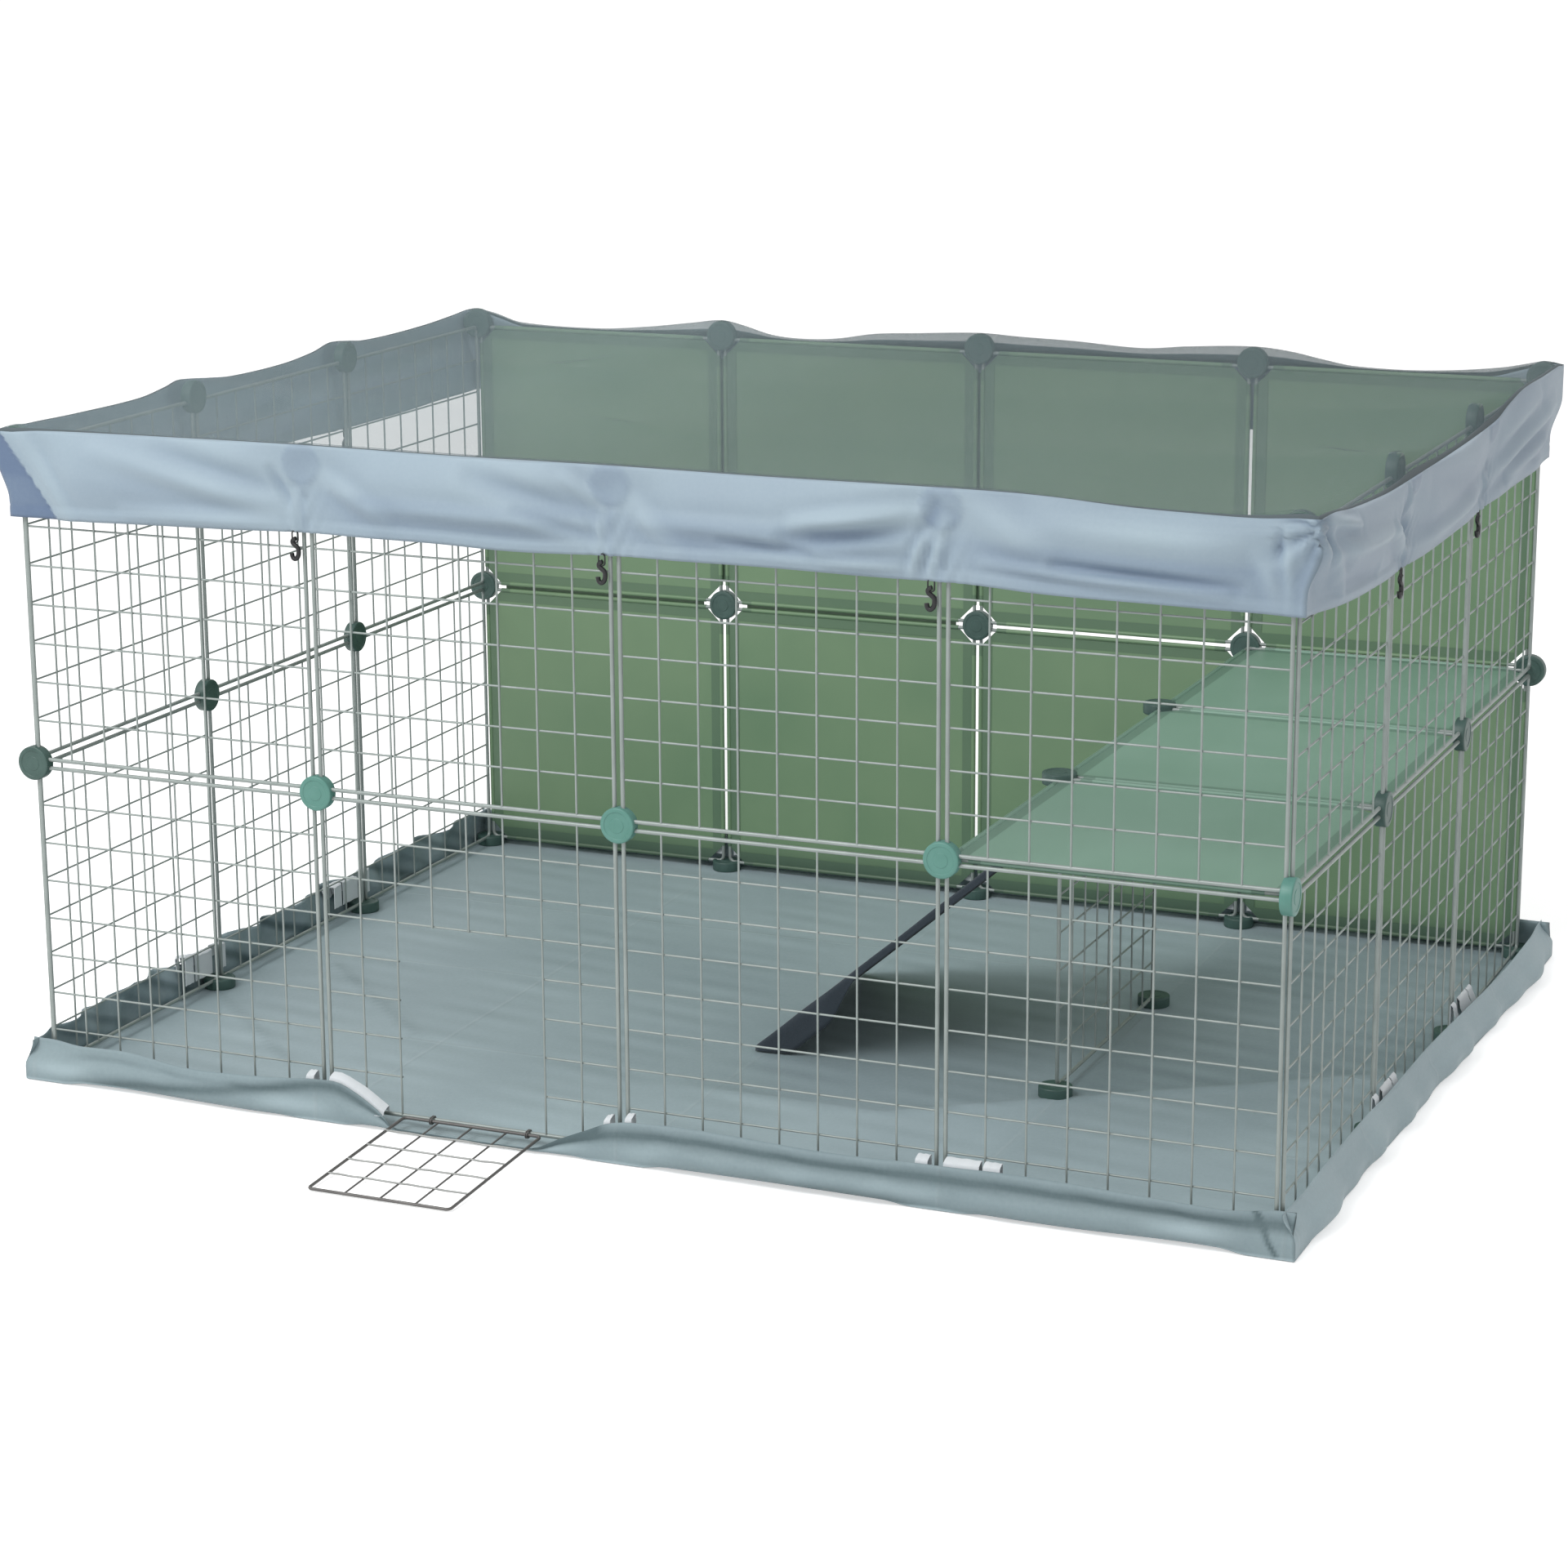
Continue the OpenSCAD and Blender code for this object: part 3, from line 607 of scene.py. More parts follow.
# Ramp
# A wire frame with rungs hangs by two hooks from the grid under the shelf, and its foot stands
# on the mat. A dark felt mat is drawn over it, and hangs down loose at the front near the foot.
ramp_len, ramp_w, ramp_mat_t, ramp_edge_t = 0.478, 0.320, 0.003, 0.002
hinge = Vector((pitch - hook_wire_depth, 0, base_z + joint_off + ramp_row * cell))
ramp_start, ramp_lip, gap = 0.009, 0.003, 0.0003
slope = (math.asin((hinge.z - mat_t - gap) / math.hypot(ramp_len, ramp_lip))
         - math.atan(ramp_lip / ramp_len))
lean = Matrix(((-math.cos(slope), 0, -math.sin(slope)), (0, -1, 0),
               (-math.sin(slope), 0, math.cos(slope)))).to_4x4()
sloped = Matrix.Translation(hinge) @ lean
ramp_far = ramp_len - ramp_edge_t - gap - rod / 2
ramp_half = ramp_w / 2 - ramp_edge_t - gap - rod / 2
ladder = rod_loop(ramp_far - ramp_start, 2 * ramp_half, rod, 0.008, (0, 0, 0))
ladder.data.transform(at((ramp_start + ramp_far) / 2, 0, 0))
rungs = 10
rung_gap = (ramp_far - ramp_start) / (rungs + 1)
ladder = joined("ramp_rods", [ladder, wire_row(
    (ramp_start + rung_gap, -ramp_half, 0), (ramp_start + rung_gap, ramp_half, 0),
    (rung_gap, 0, 0), rungs)])
ladder.data.transform(sloped)
ramp_coat = wire_finish("ramp wire coating", srgb(92, 94, 96), srgb(76, 78, 80))
shown(ladder, ramp_coat, "ramp_wire", "ramp", "ramp_frame")

hooks = clasps("ramp_clips", wire, ramp_start, rod, (0.0024, 0.002), 0.0024, 0.003,
               (-2.5 * cell, 2.5 * cell))
hooks.data.transform(sloped)
shown(hooks, ramp_coat, "ramp_wire", "ramp", "ramp_hooks")


def sewn(name, points, quads, flat, shade, thick):
    """Cloth from its points and quads. flat is where each point lay on the cut, in metres, and
    shade runs from 0, the plain colour, to 1: painted shade and light, patches, the net's binding."""
    mesh = bpy.data.meshes.new(name)
    mesh.from_pydata(points, [], quads)
    layer = mesh.uv_layers.new(name="flat")
    for loop in mesh.loops:
        layer.data[loop.index].uv = flat[loop.vertex_index]
    mesh.attributes.new("shade", "FLOAT", "POINT").data.foreach_set("value", shade)
    piece = bpy.data.objects.new(name, mesh)
    bpy.context.scene.collection.objects.link(piece)
    applied(piece, "SOLIDIFY", thickness=thick, offset=0)
    bpy.ops.object.shade_smooth()
    return piece


def grid_quads(columns, rows):
    """Quads of a grid of points, columns across and rows deep."""
    return [(r * columns + c, r * columns + c + 1, (r + 1) * columns + c + 1, (r + 1) * columns + c)
            for r in range(rows - 1) for c in range(columns - 1)]


def clamp(value, low=0.0, high=1.0):
    """The value, kept between low and high."""
    return min(high, max(low, value))


def smooth(t):
    """A soft step from 0 to 1."""
    t = clamp(t)
    return t * t * (3 - 2 * t)


felt_z = rod / 2 + ramp_mat_t / 2
felt_half = ramp_w / 2 - ramp_edge_t / 2
down = Vector((math.sin(slope), 0, -math.cos(slope)))
felt_rows, felt_near = 60, ramp_start - rod / 2
points, flat = [], []
for r in range(felt_rows + 1):
    x = felt_near + (ramp_len - felt_near) * r / felt_rows
    above = hinge.z - x * math.sin(slope) + felt_z * math.cos(slope) - mat_t
    foot = smooth((x / ramp_len - 0.66) / 0.10)
    room = max(0.0025, above - 0.0012)
    front, back = min(0.009 + 0.030 * foot, room), min(0.007, room)
    hang = 0.0012 * math.sin(x * 70) * foot
    path = [Vector((x, -felt_half, felt_z)) + down * back * n / 2 for n in (2, 1)]
    for n in range(25):
        y = felt_half * (n / 12 - 1)
        path.append(Vector((x, y, felt_z + 0.0006 * math.sin(y * 60 + x * 23) * math.sin(x * 41))))
    path += [Vector((x, felt_half + 0.0006 + hang * n / 6, felt_z)) + down * front * n / 6
             for n in range(1, 7)]
    points += path
    width = 0.0
    for n, p in enumerate(path):
        width += (p - path[n - 1]).length if n else 0.0
        flat.append((x, width))
felt = sewn("ramp_felt", points, grid_quads(len(path), felt_rows + 1), flat,
            [0.0] * len(points), 0.0028)
felt.data.transform(sloped)
felt_cloth = Finish("dark ramp felt", Specular_IOR_Level=0.2, Sheen_Weight=0.25, Sheen_Roughness=0.5)
tuft = felt_cloth.noise(700.0, 4.0)
patch = felt_cloth.noise(26.0, 2.0)
felt_cloth.set(
    Base_Color=felt_cloth.blend((tuft * 0.7 + patch * 0.6 - 0.2).clamped(),
                                srgb(42, 52, 60), srgb(66, 74, 82)),
    Roughness=0.86 + tuft * 0.1)
felt_cloth.bump(tuft, 0.0008, 0.6)
shown(felt, felt_cloth.material, "ramp_felt", "ramp", "ramp_mat")

# Floor mat
# One coated cloth under the whole pen. Its edge is turned up outside the panels as a soft rim,
# boxed at the corners, and pressed flat where the door lies over it. It keeps its packing folds.
rim_clear, rim_h = 0.0013, 0.044
mat_over = disc_r + rim_clear + 0.001
mat_x, mat_y = half_x + mat_over, half_y + mat_over
rim_rows = 12


def eased(place, *knots):
    """Height at a place on a line that runs smoothly through knots of (place, height)."""
    place = clamp(place, knots[0][0], knots[-1][0])
    n = next(k for k in range(1, len(knots)) if place <= knots[k][0])
    (a, low), (b, high) = knots[n - 1], knots[n]
    before, after = knots[max(0, n - 2)], knots[min(len(knots) - 1, n + 1)]
    run, t = b - a, (place - a) / (b - a)
    rise, fall = (high - before[1]) / (b - before[0]), (after[1] - low) / (after[0] - a)
    return (low + (high - low) * t * t * (3 - 2 * t)
            + run * t * (1 - t) * ((1 - t) * rise - t * fall))


def ripple(place, *waves):
    """Sum of sine waves: each is a height, a wavelength and a phase."""
    return sum(h * math.sin(2 * math.pi * place / w + p) for h, w, p in waves)


def hump(away, width):
    """A soft bump, 1 at no distance."""
    return math.exp(-(away / width) ** 2)


def panels_of(side):
    """How many panels long a wall is."""
    return 4 if side in ("front", "back") else 3


def spread(half):
    """Places across the mat, closer together near its corners."""
    reach, fine, step = 0.05, 0.0028, 0.009
    ends = [half - fine * n for n in range(round(reach / fine))]
    count = round(2 * (half - reach) / step)
    return ([-p for p in ends] + [(half - reach) * (2 * n / count - 1) for n in range(count + 1)]
            + ends[::-1])


def off_post(place):
    """Distance along a wall to its nearest post, for a place counted in panels."""
    return abs(place - round(place)) * pitch


def side_of(x, y):
    """Which edge of the mat a spot is on, and its place there in panels from the left or front."""
    if y <= -mat_y + 1e-6:
        return "front", (x + half_x) / pitch
    if x >= mat_x - 1e-6:
        return "right", (y + half_y) / pitch
    if y >= mat_y - 1e-6:
        return "back", (x + half_x) / pitch
    return "left", (y + half_y) / pitch


def edge_lift(side, s):
    """The rim's pull lifts the mat's edge off the ground between the posts."""
    free = smooth((off_post(s) - 0.026) / 0.03)
    if side == "front":
        return free * eased(s, (0, 0.002), (0.3, 0.0044), (0.6, 0.002), (0.8, 0.001), (1.2, 0.003),
                            (1.28, 0.001), (1.7, 0.001), (2.1, 0.0035), (2.5, 0.004), (3.1, 0.0025),
                            (3.4, 0.0018), (3.75, 0.0044), (4, 0.002))
    return free * max(0.0, 0.0015 + ripple(s, (0.001, 0.8, 0.5)))


def line_away(x, y, ax, ay, bx, by):
    """Distance of a spot from a line from a to b, and its share of the way along."""
    dx, dy = bx - ax, by - ay
    share = ((x - ax) * dx + (y - ay) * dy) / (dx * dx + dy * dy)
    held = clamp(share)
    return math.hypot(x - ax - held * dx, y - ay - held * dy), held


slants = ((-0.622, -0.048, -0.398, -0.255), (-0.700, -0.198, -0.483, -0.398))


def on_slant(x, y, width):
    """How near a spot is to the two slanting folds on the left of the mat, 1 on them."""
    return max(hump(line_away(x, y, *line)[0], width) for line in slants)


def past_fold(x, y):
    """How far behind the long packing fold on the right of the mat a spot is."""
    return y + 0.305 - 0.70 * max(0.0, x - 0.2)


def floor_lie(x, y):
    """Height of the cloth over the ground, with its slack."""
    reach_x, reach_y = mat_x - abs(x), mat_y - abs(y)
    inside = smooth(reach_x / 0.09) * smooth(reach_y / 0.09)
    slack = ripple(x + 0.4 * y, (0.5, 0.31, 0.4)) * ripple(y - 0.3 * x, (0.5, 0.23, 1.0))
    ridge = hump(past_fold(x, y), 0.010) * smooth(x / 0.08 + 0.5)
    high = 0.0005 + inside * (0.0024 * max(0.0, slack + 0.12) + 0.0022 * ridge
                              + 0.0020 * on_slant(x, y, 0.010))
    if reach_x < reach_y:
        side = side_of(math.copysign(mat_x, x), y)
    else:
        side = side_of(x, math.copysign(mat_y, y))
    return high + edge_lift(*side) * (1 - smooth(min(reach_x, reach_y) / 0.016))


def rim_line(side, s):
    """Height of the rim's top edge. It dips under the door and is uneven elsewhere."""
    if side == "front":
        return eased(s, (0, 0.0455), (0.15, 0.046), (0.31, 0.046), (0.52, 0.038), (0.8, 0.042),
                     (1.02, 0.047), (1.07, 0.0455), (1.13, 0.036), (1.2, 0.021), (1.255, 0.0075),
                     (1.3, 0.0055), (1.7, 0.0055), (1.745, 0.0075), (1.82, 0.020), (1.9, 0.032),
                     (1.98, 0.0435), (2.1, 0.048), (2.4, 0.0475), (2.65, 0.046), (3.1, 0.0475),
                     (3.44, 0.048), (3.67, 0.046), (3.9, 0.043), (4, 0.0455))
    if side == "right":
        return eased(s, (0, 0.0455), (0.3, 0.049), (0.8, 0.048), (1.5, 0.047), (2.3, 0.043), (3, 0.0455))
    if side == "left":
        return 0.0455 + ripple(s, (0.003, 0.61, 1.9), (0.002, 0.23, 0.3)) * smooth(min(s, 3 - s) / 0.1)
    return 0.0455 + ripple(s, (0.002, 0.9, 1.0)) * smooth(min(s, 4 - s) / 0.1)


def rim_shape(side, s):
    """How the rim stands on one side: the lean of its top, its belly and its crease."""
    end = smooth(min(s, panels_of(side) - s) / 0.16)
    free = smooth((off_post(s) - 0.008) / 0.06) * end
    if side == "front":
        lean = -0.003 + ripple(s, (0.003, 0.93, 2.2)) * free
        belly = free * eased(s, (0, 0.002), (0.3, 0.003), (0.7, 0.009), (1.1, 0.006), (1.9, 0.004),
                             (2.2, 0.008), (2.6, 0.011), (3.3, 0.010), (3.7, 0.006), (4, 0.003))
        return lean - 0.012 * (1 - end), belly, 0.005 * free
    if side == "right":
        belly = free * (0.008 + ripple(s, (0.004, 0.83, 0.2), (0.002, 0.27, 1.1)))
        return -0.011 - 0.003 * (1 - end), belly, 0.003 * free
    if side == "left":
        lean = 0.001 + ripple(s, (0.006, 0.37, 1.7), (0.003, 0.14, 0.9)) * free
        belly = free * ripple(s, (0.006, 0.47, 0.7), (0.005, 0.17, 0.1))
        return lean - 0.010 * (1 - end), belly, 0.0
    return (ripple(s, (0.003, 0.54, 0.1)) * free - 0.010 * (1 - end),
            free * ripple(s, (0.004, 0.7, 0.9), (0.002, 0.2, 0.4)), 0.002 * free)


def rim_out(side, s, t):
    """How far the rim stands out from the mat's edge at the share t of its height."""
    lean, belly, crease = rim_shape(side, s)
    low = min(1.0, rim_line(side, s) / rim_h)
    swell = belly * math.sin(math.pi * t ** 0.6) - crease * hump(t - 0.62, 0.13)
    if side == "front":
        crumple = ripple(s + 0.2 * t, (0.0010, 0.23, 0.4), (0.0008, 0.131, 2.0))
        swell += min(1.0, belly / 0.004) * crumple * math.sin(math.pi * t)
    press = 0.006 * smooth((0.4 - low) / 0.2) * t
    return low * (lean * (t if lean > 0 else smooth((t - 0.36) / 0.64)) + swell) + press


def foot_shift(x, y):
    """The mat is wider at the back of its right side than its walls need."""
    if x < half_x - 0.1:
        return 0.0
    foot = eased((y + half_y) / pitch, (0, -0.001), (0.8, -0.001), (1.0, 0.002), (1.55, 0.004),
                 (2.16, 0.012), (2.55, 0.016), (3, 0.017))
    return foot * smooth((x - half_x + 0.1) / 0.12)


def mat_patches_and_shade(x, y):
    """Shade of the mat: random soft patches and streaks, with painted shade and painted light."""
    tone = 0.15 + ripple(x + 0.6 * y, (0.06, 0.83, 0.4)) * ripple(y - 0.2 * x, (1.0, 0.52, 2.0))
    behind = past_fold(x, y)
    # Painted shade behind the long packing fold.
    fold = smooth(behind / 0.012) * smooth((0.30 - behind) / 0.28) * smooth((x + 0.15) / 0.25)
    # Painted shadow under the shelf.
    under = smooth((x - half_x + pitch + 0.03) / 0.06) * smooth((0.30 + behind) / 0.28)
    streak = ripple(y + 0.15 * x, (0.07, 0.043, 0.3), (0.05, 0.071, 1.2)) * ripple(x, (1.0, 0.41, 0.8))
    # Painted light in front of the long packing fold.
    before = smooth(-behind / 0.02) * smooth((x + 0.15) / 0.25)
    # Painted shade in the middle of the mat, under the net.
    middle = smooth(1 - math.hypot(x + 0.05, y) / 0.5)
    # The sum, with painted shade along the two slanting folds.
    return (tone + streak + 0.20 * fold + 0.22 * under + 0.21 * middle
            + 0.22 * on_slant(x, y, 0.006) - 0.12 * before)


xs, ys = spread(mat_x), spread(mat_y)
columns, rows = len(xs), len(ys)
points = [(x + foot_shift(x, y), y, floor_lie(x, y)) for y in ys for x in xs]
flat = [(x, y) for y in ys for x in xs]
shade = [max(0.0, mat_patches_and_shade(x, y)) for y in ys for x in xs]
quads = grid_quads(columns, rows)
border = (list(range(columns - 1))
          + [r * columns + columns - 1 for r in range(rows - 1)]
          + [(rows - 1) * columns + c for c in range(columns - 1, 0, -1)]
          + [r * columns for r in range(rows - 1, 0, -1)])


def rim_painted_shade_and_light(side, s, t, x):
    """Painted shade and light of the rim at the share t of its height."""
    # Painted shade, a set depth for each side.
    tone = {"right": 0.04, "front": 0.42, "back": 0.25, "left": 0.32}[side]
    if side == "left":
        # Painted shade in the crumples of the left rim.
        tone += 0.60 * max(0.0, ripple(s + 0.3 * t, (0.6, 0.41, 0.9), (0.6, 0.19, 2.3)))
    if side == "front":
        # Painted shade along a crease that climbs the front rim, and at the rim's foot near s = 2.75.
        climb = eased(s, (0, 0.0), (0.2, 0.05), (0.6, 0.45), (1, 0.85), (1.3, 0.72), (4, 0.72))
        tone += 0.55 * hump(t - climb, 0.15) * smooth(s / 0.3)
        tone += 0.55 * hump(t, 0.22) * hump(s - 2.75, 0.30)
        # Painted shadow along the top of the rim beside the door.
        door_edge_shadow = smooth((s - 1.2) / 0.06) * smooth((1.98 - s) / 0.06)
        tone += 0.8 * door_edge_shadow * hump(1 - t, 0.22)
        # Painted light on patches of the front rim's lower part.
        lit = max(0.0, ripple(s, (0.7, 0.93, 1.5), (0.5, 0.41, 0.3)))
        tone -= 0.40 * lit * hump(t - 0.34, 0.16)
        # Painted shade in the pleat at the front right corner.
        tone += 0.8 * hump(x - (half_x + 0.004 - 0.026 * t), 0.0028)
    return clamp(tone)


below = border
for n in range(1, rim_rows + 1):
    t = n / rim_rows
    start = len(points)
    for spot in border:
        x, y = flat[spot]
        z = points[spot][2]
        nx = (x >= mat_x - 1e-6) - (x <= -mat_x + 1e-6)
        ny = (y >= mat_y - 1e-6) - (y <= -mat_y + 1e-6)
        side, s = side_of(x, y)
        high = rim_line(side, s)
        out = across = rim_out(side, s, t)
        if nx and ny:
            across = rim_out("right" if nx > 0 else "left",
                             s if side in ("left", "right") else (y + half_y) / pitch, t)
        points.append((x + foot_shift(x, y) + nx * across, y + ny * out, z + (high - z) * t))
        flat.append((x + nx * high * t, y + ny * high * t))
        shade.append(rim_painted_shade_and_light(side, s, t, x))
    row = list(range(start, len(points)))
    quads += [(below[i - 1], below[i], row[i], row[i - 1]) for i in range(len(border))]
    below = row
mat = sewn("floor_cloth", points, quads, flat, shade, 0.0009)


def woven(finish, thread):
    """Where a spot lay on the cut, across and along, and the waves of a plain weave there."""
    across, along, _ = finish.axes(finish.node("UVMap", uv_map="flat"))
    turns = 2 * math.pi / thread
    return across, along, (across * turns).sine() * (along * turns).sine()


def cloth_finish(name, tint, deep, shade_and_patch_colour, rough, thread, sheen, packed=0.0):
    """Woven cloth: a plain weave in the cut's own metres, uneven dye, patches and painted shade and
    light from the shade attribute, and pale packing folds where packed is over 0."""
    cloth = Finish(name, Specular_IOR_Level=0.35, Sheen_Weight=sheen, Sheen_Roughness=0.4)
    across, along, weave = woven(cloth, thread)
    cloud = cloth.noise(5.0, 3.0)
    lint = cloth.noise(240.0, 2.0)
    # fold reads the shade attribute: painted shade and light, and on the mat random patches too.
    fold = cloth.node("Attribute", out="Fac", attribute_name="shade")
    body = cloth.blend((cloud * 1.8 - 0.4).clamped(), tint, deep)
    relief = weave * 0.35 + lint * 0.9 + cloud * 3.0
    if packed:
        lines = (1 - across.maths("PINGPONG", across, 0.18) * 260.0).clamped() + (
            1 - along.maths("PINGPONG", along, 0.135) * 260.0).clamped()
        body = cloth.blend(lines.clamped() * packed, body, srgb(168, 182, 186))
        relief = relief + lines * 2.4
    cloth.set(
        Base_Color=cloth.blend((fold + lint * 0.12 - 0.06).clamped(), body, shade_and_patch_colour),
        Roughness=rough + lint * 0.12)
    cloth.bump(relief, 0.0004, 0.5)
    return cloth.material


mat_cloth = cloth_finish("grey mat cloth", srgb(164, 182, 187), srgb(152, 170, 176),
                         srgb(84, 102, 106), 0.5, 0.0014, 0.1, 0.4)
shown(mat, mat_cloth, "mat_cloth", "pen", "floor_mat", "mat_rim_front", "mat_rim_back",
      "mat_rim_left", "mat_rim_right")

# Fastening tabs
# Pale straps are sewn inside the rim's top edge at each post between the corners. They reach in
# to the wires, lie against them and press closed. The strap beside the door slopes with the rim.
strap_t, rods_clear = 0.0009, 0.0085
rod_top = bottom_rod_z + rod / 2 + 0.0008
# How far inside the rim's middle a strap is sewn, and where it lies against the wires
sewn_in, wires_y = 0.0022, -0.0042
# Course of a strap: its share of the way in to the wires, its height over the rim's top edge, and
# 1 where that height is a share of the way down to the rods
course = ((0.0, -0.012, 0), (0.0, -0.006, 0), (0.0, 0.0, 0), (0.05, 0.0026, 0), (0.3, 0.0042, 0),
          (0.6, 0.0054, 0), (0.9, 0.0058, 0), (1.0, 0.0045, 0), (1.0, 0.0, 0), (1.0, -0.4, 1),
          (1.0, -0.95, 1))


def strap(side, post, from_x, to_x):
    """A strap beside a post, as on the front wall, with x along the wall."""
    columns = 8
    points, flat = [], []
    for n, (inward, rise, drop) in enumerate(course):
        for c in range(columns):
            x = from_x + (to_x - from_x) * c / (columns - 1)
            s = post + x / pitch
            high = rim_line(side, s)
            outer = sewn_in - mat_over - rim_out(side, s, 1.0 if inward else 1 + rise / high)
            y = outer + (wires_y - outer) * inward
            z = high + (rise * max(0.0, high - rod_top - 0.004) if drop else rise)
            points.append((x, y, max(z, rod_top) + 0.0004 * math.sin(c * 1.9 + n)))
            flat.append((x, 0.006 * n))
    return sewn("strap", points, grid_quads(columns, len(course)), flat, [0.0] * len(points), strap_t)


# The posts between the corners: side, number from the left or front, place and turn
posts = ([(side, n, (n - 2) * pitch, y, turn)
          for side, y, turn in (("front", -half_y, 0), ("back", half_y, 180)) for n in (1, 2, 3)]
         + [(side, n, x, (n - 1.5) * pitch, turn)
            for side, x, turn in (("right", half_x, 90), ("left", -half_x, -90)) for n in (1, 2)])
usual = ((-0.022, -rods_clear), (rods_clear, 0.046), (0.050, 0.068))
unusual = {("front", 1): ((-0.018, -rods_clear), (0.011, 0.077)),
           ("front", 2): ((-0.016, -rods_clear), (rods_clear, 0.016))}
tabs = []
for side, n, x, y, turn in posts:
    for reach in unusual.get((side, n), usual):
        part = strap(side, n, *reach)
        part.data.transform(at(x, y, 0, turn))
        tabs.append(part)
tabs = joined("mat_straps", tabs)
tab_cloth = cloth_finish("pale tab cloth", srgb(222, 227, 230), srgb(205, 211, 215),
                         srgb(120, 126, 128), 0.7, 0.0011, 0.15)
shown(tabs, tab_cloth, "tab_cloth", "pen", "mat_tabs")

# Roof net
# Fine see-through netting over the whole pen. It lies on the top connectors, sags between them
# and in the middle, and runs out over the walls to a dark bound seam, where the skirt starts. Its
# right part is darker in tone.
top_z = base_z + 2 * pitch
peak = disc_r + 0.0008
net_over_x, net_over_y = 0.0217, 0.0107
net_x, net_y = half_x + net_over_x, half_y + net_over_y
# Height over the top joints of the net above each wall, and of its seam outside that wall
crest = {
    "front": ((0, peak), (0.5, 0.0188), (1, peak), (1.5, 0.0189), (2, peak), (2.5, 0.0190),
              (3, peak), (3.2, 0.0194), (3.5, 0.0140), (3.8, 0.0125), (3.92, 0.0155), (4, peak)),
    "back": ((0, peak), (0.08, 0.0140), (0.18, 0.0040), (0.5, 0.0010), (0.7, 0.0065),
             (0.88, 0.0145), (1, peak), (1.08, 0.0150), (1.2, 0.0040), (1.32, 0.0010),
             (1.45, 0.0035), (1.6, 0.0120), (1.76, 0.0155), (2, peak), (2.15, 0.0175),
             (2.35, 0.0155), (2.6, 0.0110), (2.77, 0.0160), (3, peak), (3.13, 0.0160),
             (3.25, 0.0080), (3.36, 0.0020), (3.6, 0.0012), (3.85, 0.0090), (4, peak)),
    "left": ((0, peak), (0.1, 0.0155), (0.2, 0.0125), (0.4, 0.0105), (0.77, 0.0095),
             (0.93, 0.0160), (1, peak), (1.08, 0.0178), (1.17, 0.0135), (1.34, 0.0080),
             (1.67, 0.0070), (1.88, 0.0140), (2, peak), (2.1, 0.0165), (2.2, 0.0115),
             (2.4, 0.0095), (2.7, 0.0105), (2.92, 0.0160), (3, peak)),
    "right": ((0, peak), (0.08, 0.0160), (0.3, 0.0090), (0.56, 0.0050), (0.8, 0.0085),
              (0.93, 0.0160), (1, peak), (1.1, 0.0155), (1.4, 0.0060), (1.7, 0.0070),
              (1.9, 0.0150), (2, peak), (2.15, 0.0178), (2.4, 0.0175), (2.7, 0.0172), (3, peak))}
seam = {
    "front": ((0, 0.0130), (0.1, 0.0160), (0.35, 0.0178), (0.6, 0.0186), (1, 0.0196),
              (1.5, 0.0186), (2, 0.0196), (2.5, 0.0188), (3, 0.0196), (3.2, 0.0192),
              (3.33, 0.0175), (3.54, 0.0128), (3.7, 0.0112), (3.88, 0.0105), (4, 0.0130)),
    "right": ((0, 0.0130), (0.1, 0.0120), (0.3, 0.0050), (0.56, -0.0007), (0.73, -0.0030),
              (1.08, -0.0037), (1.4, -0.0039), (1.7, -0.0030), (2.04, 0.0007), (2.2, 0.0090),
              (2.41, 0.0165), (2.7, 0.0165), (2.95, 0.0170), (3, 0.0150)),
    "back": ((0, 0.0150), (0.08, 0.0060), (0.2, -0.0040), (3.8, -0.0040), (3.92, 0.0060),
             (4, 0.0150)),
    "left": ((0, 0.0130), (0.2, 0.0115), (0.4, 0.0095), (0.77, 0.0085), (0.93, 0.0140),
             (1, 0.0180), (1.08, 0.0160), (1.17, 0.0125), (1.34, 0.0070), (1.67, 0.0060),
             (1.88, 0.0110), (2, 0.0175), (2.1, 0.0140), (2.2, 0.0105), (2.4, 0.0085),
             (2.7, 0.0095), (2.92, 0.0130), (3, 0.0150))}
net_folds = ((0.481, 0.083, 0.697, -0.157), (0.348, -0.293, 0.54, -0.36), (-0.46, 0.176, -0.37, 0.37),
             (0.10, -0.20, 0.42, -0.36), (-0.30, -0.1, 0.05, -0.28))


def net_height(x, y):
    """Height of the net: its lines over the four walls, its sag between them, and its fall
    outside the walls to the seam."""
    i, j = clamp((x + half_x) / pitch, 0.0, 4.0), clamp((y + half_y) / pitch, 0.0, 3.0)
    u, v = i / 4, j / 3
    drops = [peak - eased(place, *crest[name]) for name, place in
             (("front", i), ("back", i), ("left", j), ("right", j))]
    shares = ((1 - v) ** 3, v ** 3, (1 - u) ** 3, u ** 3)
    high = peak - sum(d * w for d, w in zip(drops, shares))
    high -= 0.022 * (16 * u * (1 - u) * v * (1 - v)) ** 0.7
    for fold in net_folds:
        away, share = line_away(x, y, *fold)
        high += 0.0022 * hump(away, 0.007) * math.sin(math.pi * share)
    beyond_x = max(0.0, abs(x) - half_x) / net_over_x
    beyond_y = max(0.0, abs(y) - half_y) / net_over_y
    fall = 0.0
    if beyond_y > 0:
        name = "front" if y < 0 else "back"
        fall = max(fall, (high - eased(i, *seam[name])) * beyond_y ** 1.5)
    if beyond_x > 0:
        name = "left" if x < 0 else "right"
        fall = max(fall, (high - eased(j, *seam[name])) * beyond_x ** 1.5)
    return top_z + high - fall


def net_spots(reach, walls, count, over):
    """Places across the net, closer together outside the walls."""
    outside = [walls + over * 0.25, walls + over * 0.5, reach - 0.0046, reach - 0.0038, reach]
    inside = [walls * (2 * n / count - 1) for n in range(count + 1)]
    return [-p for p in outside[::-1]] + inside + outside


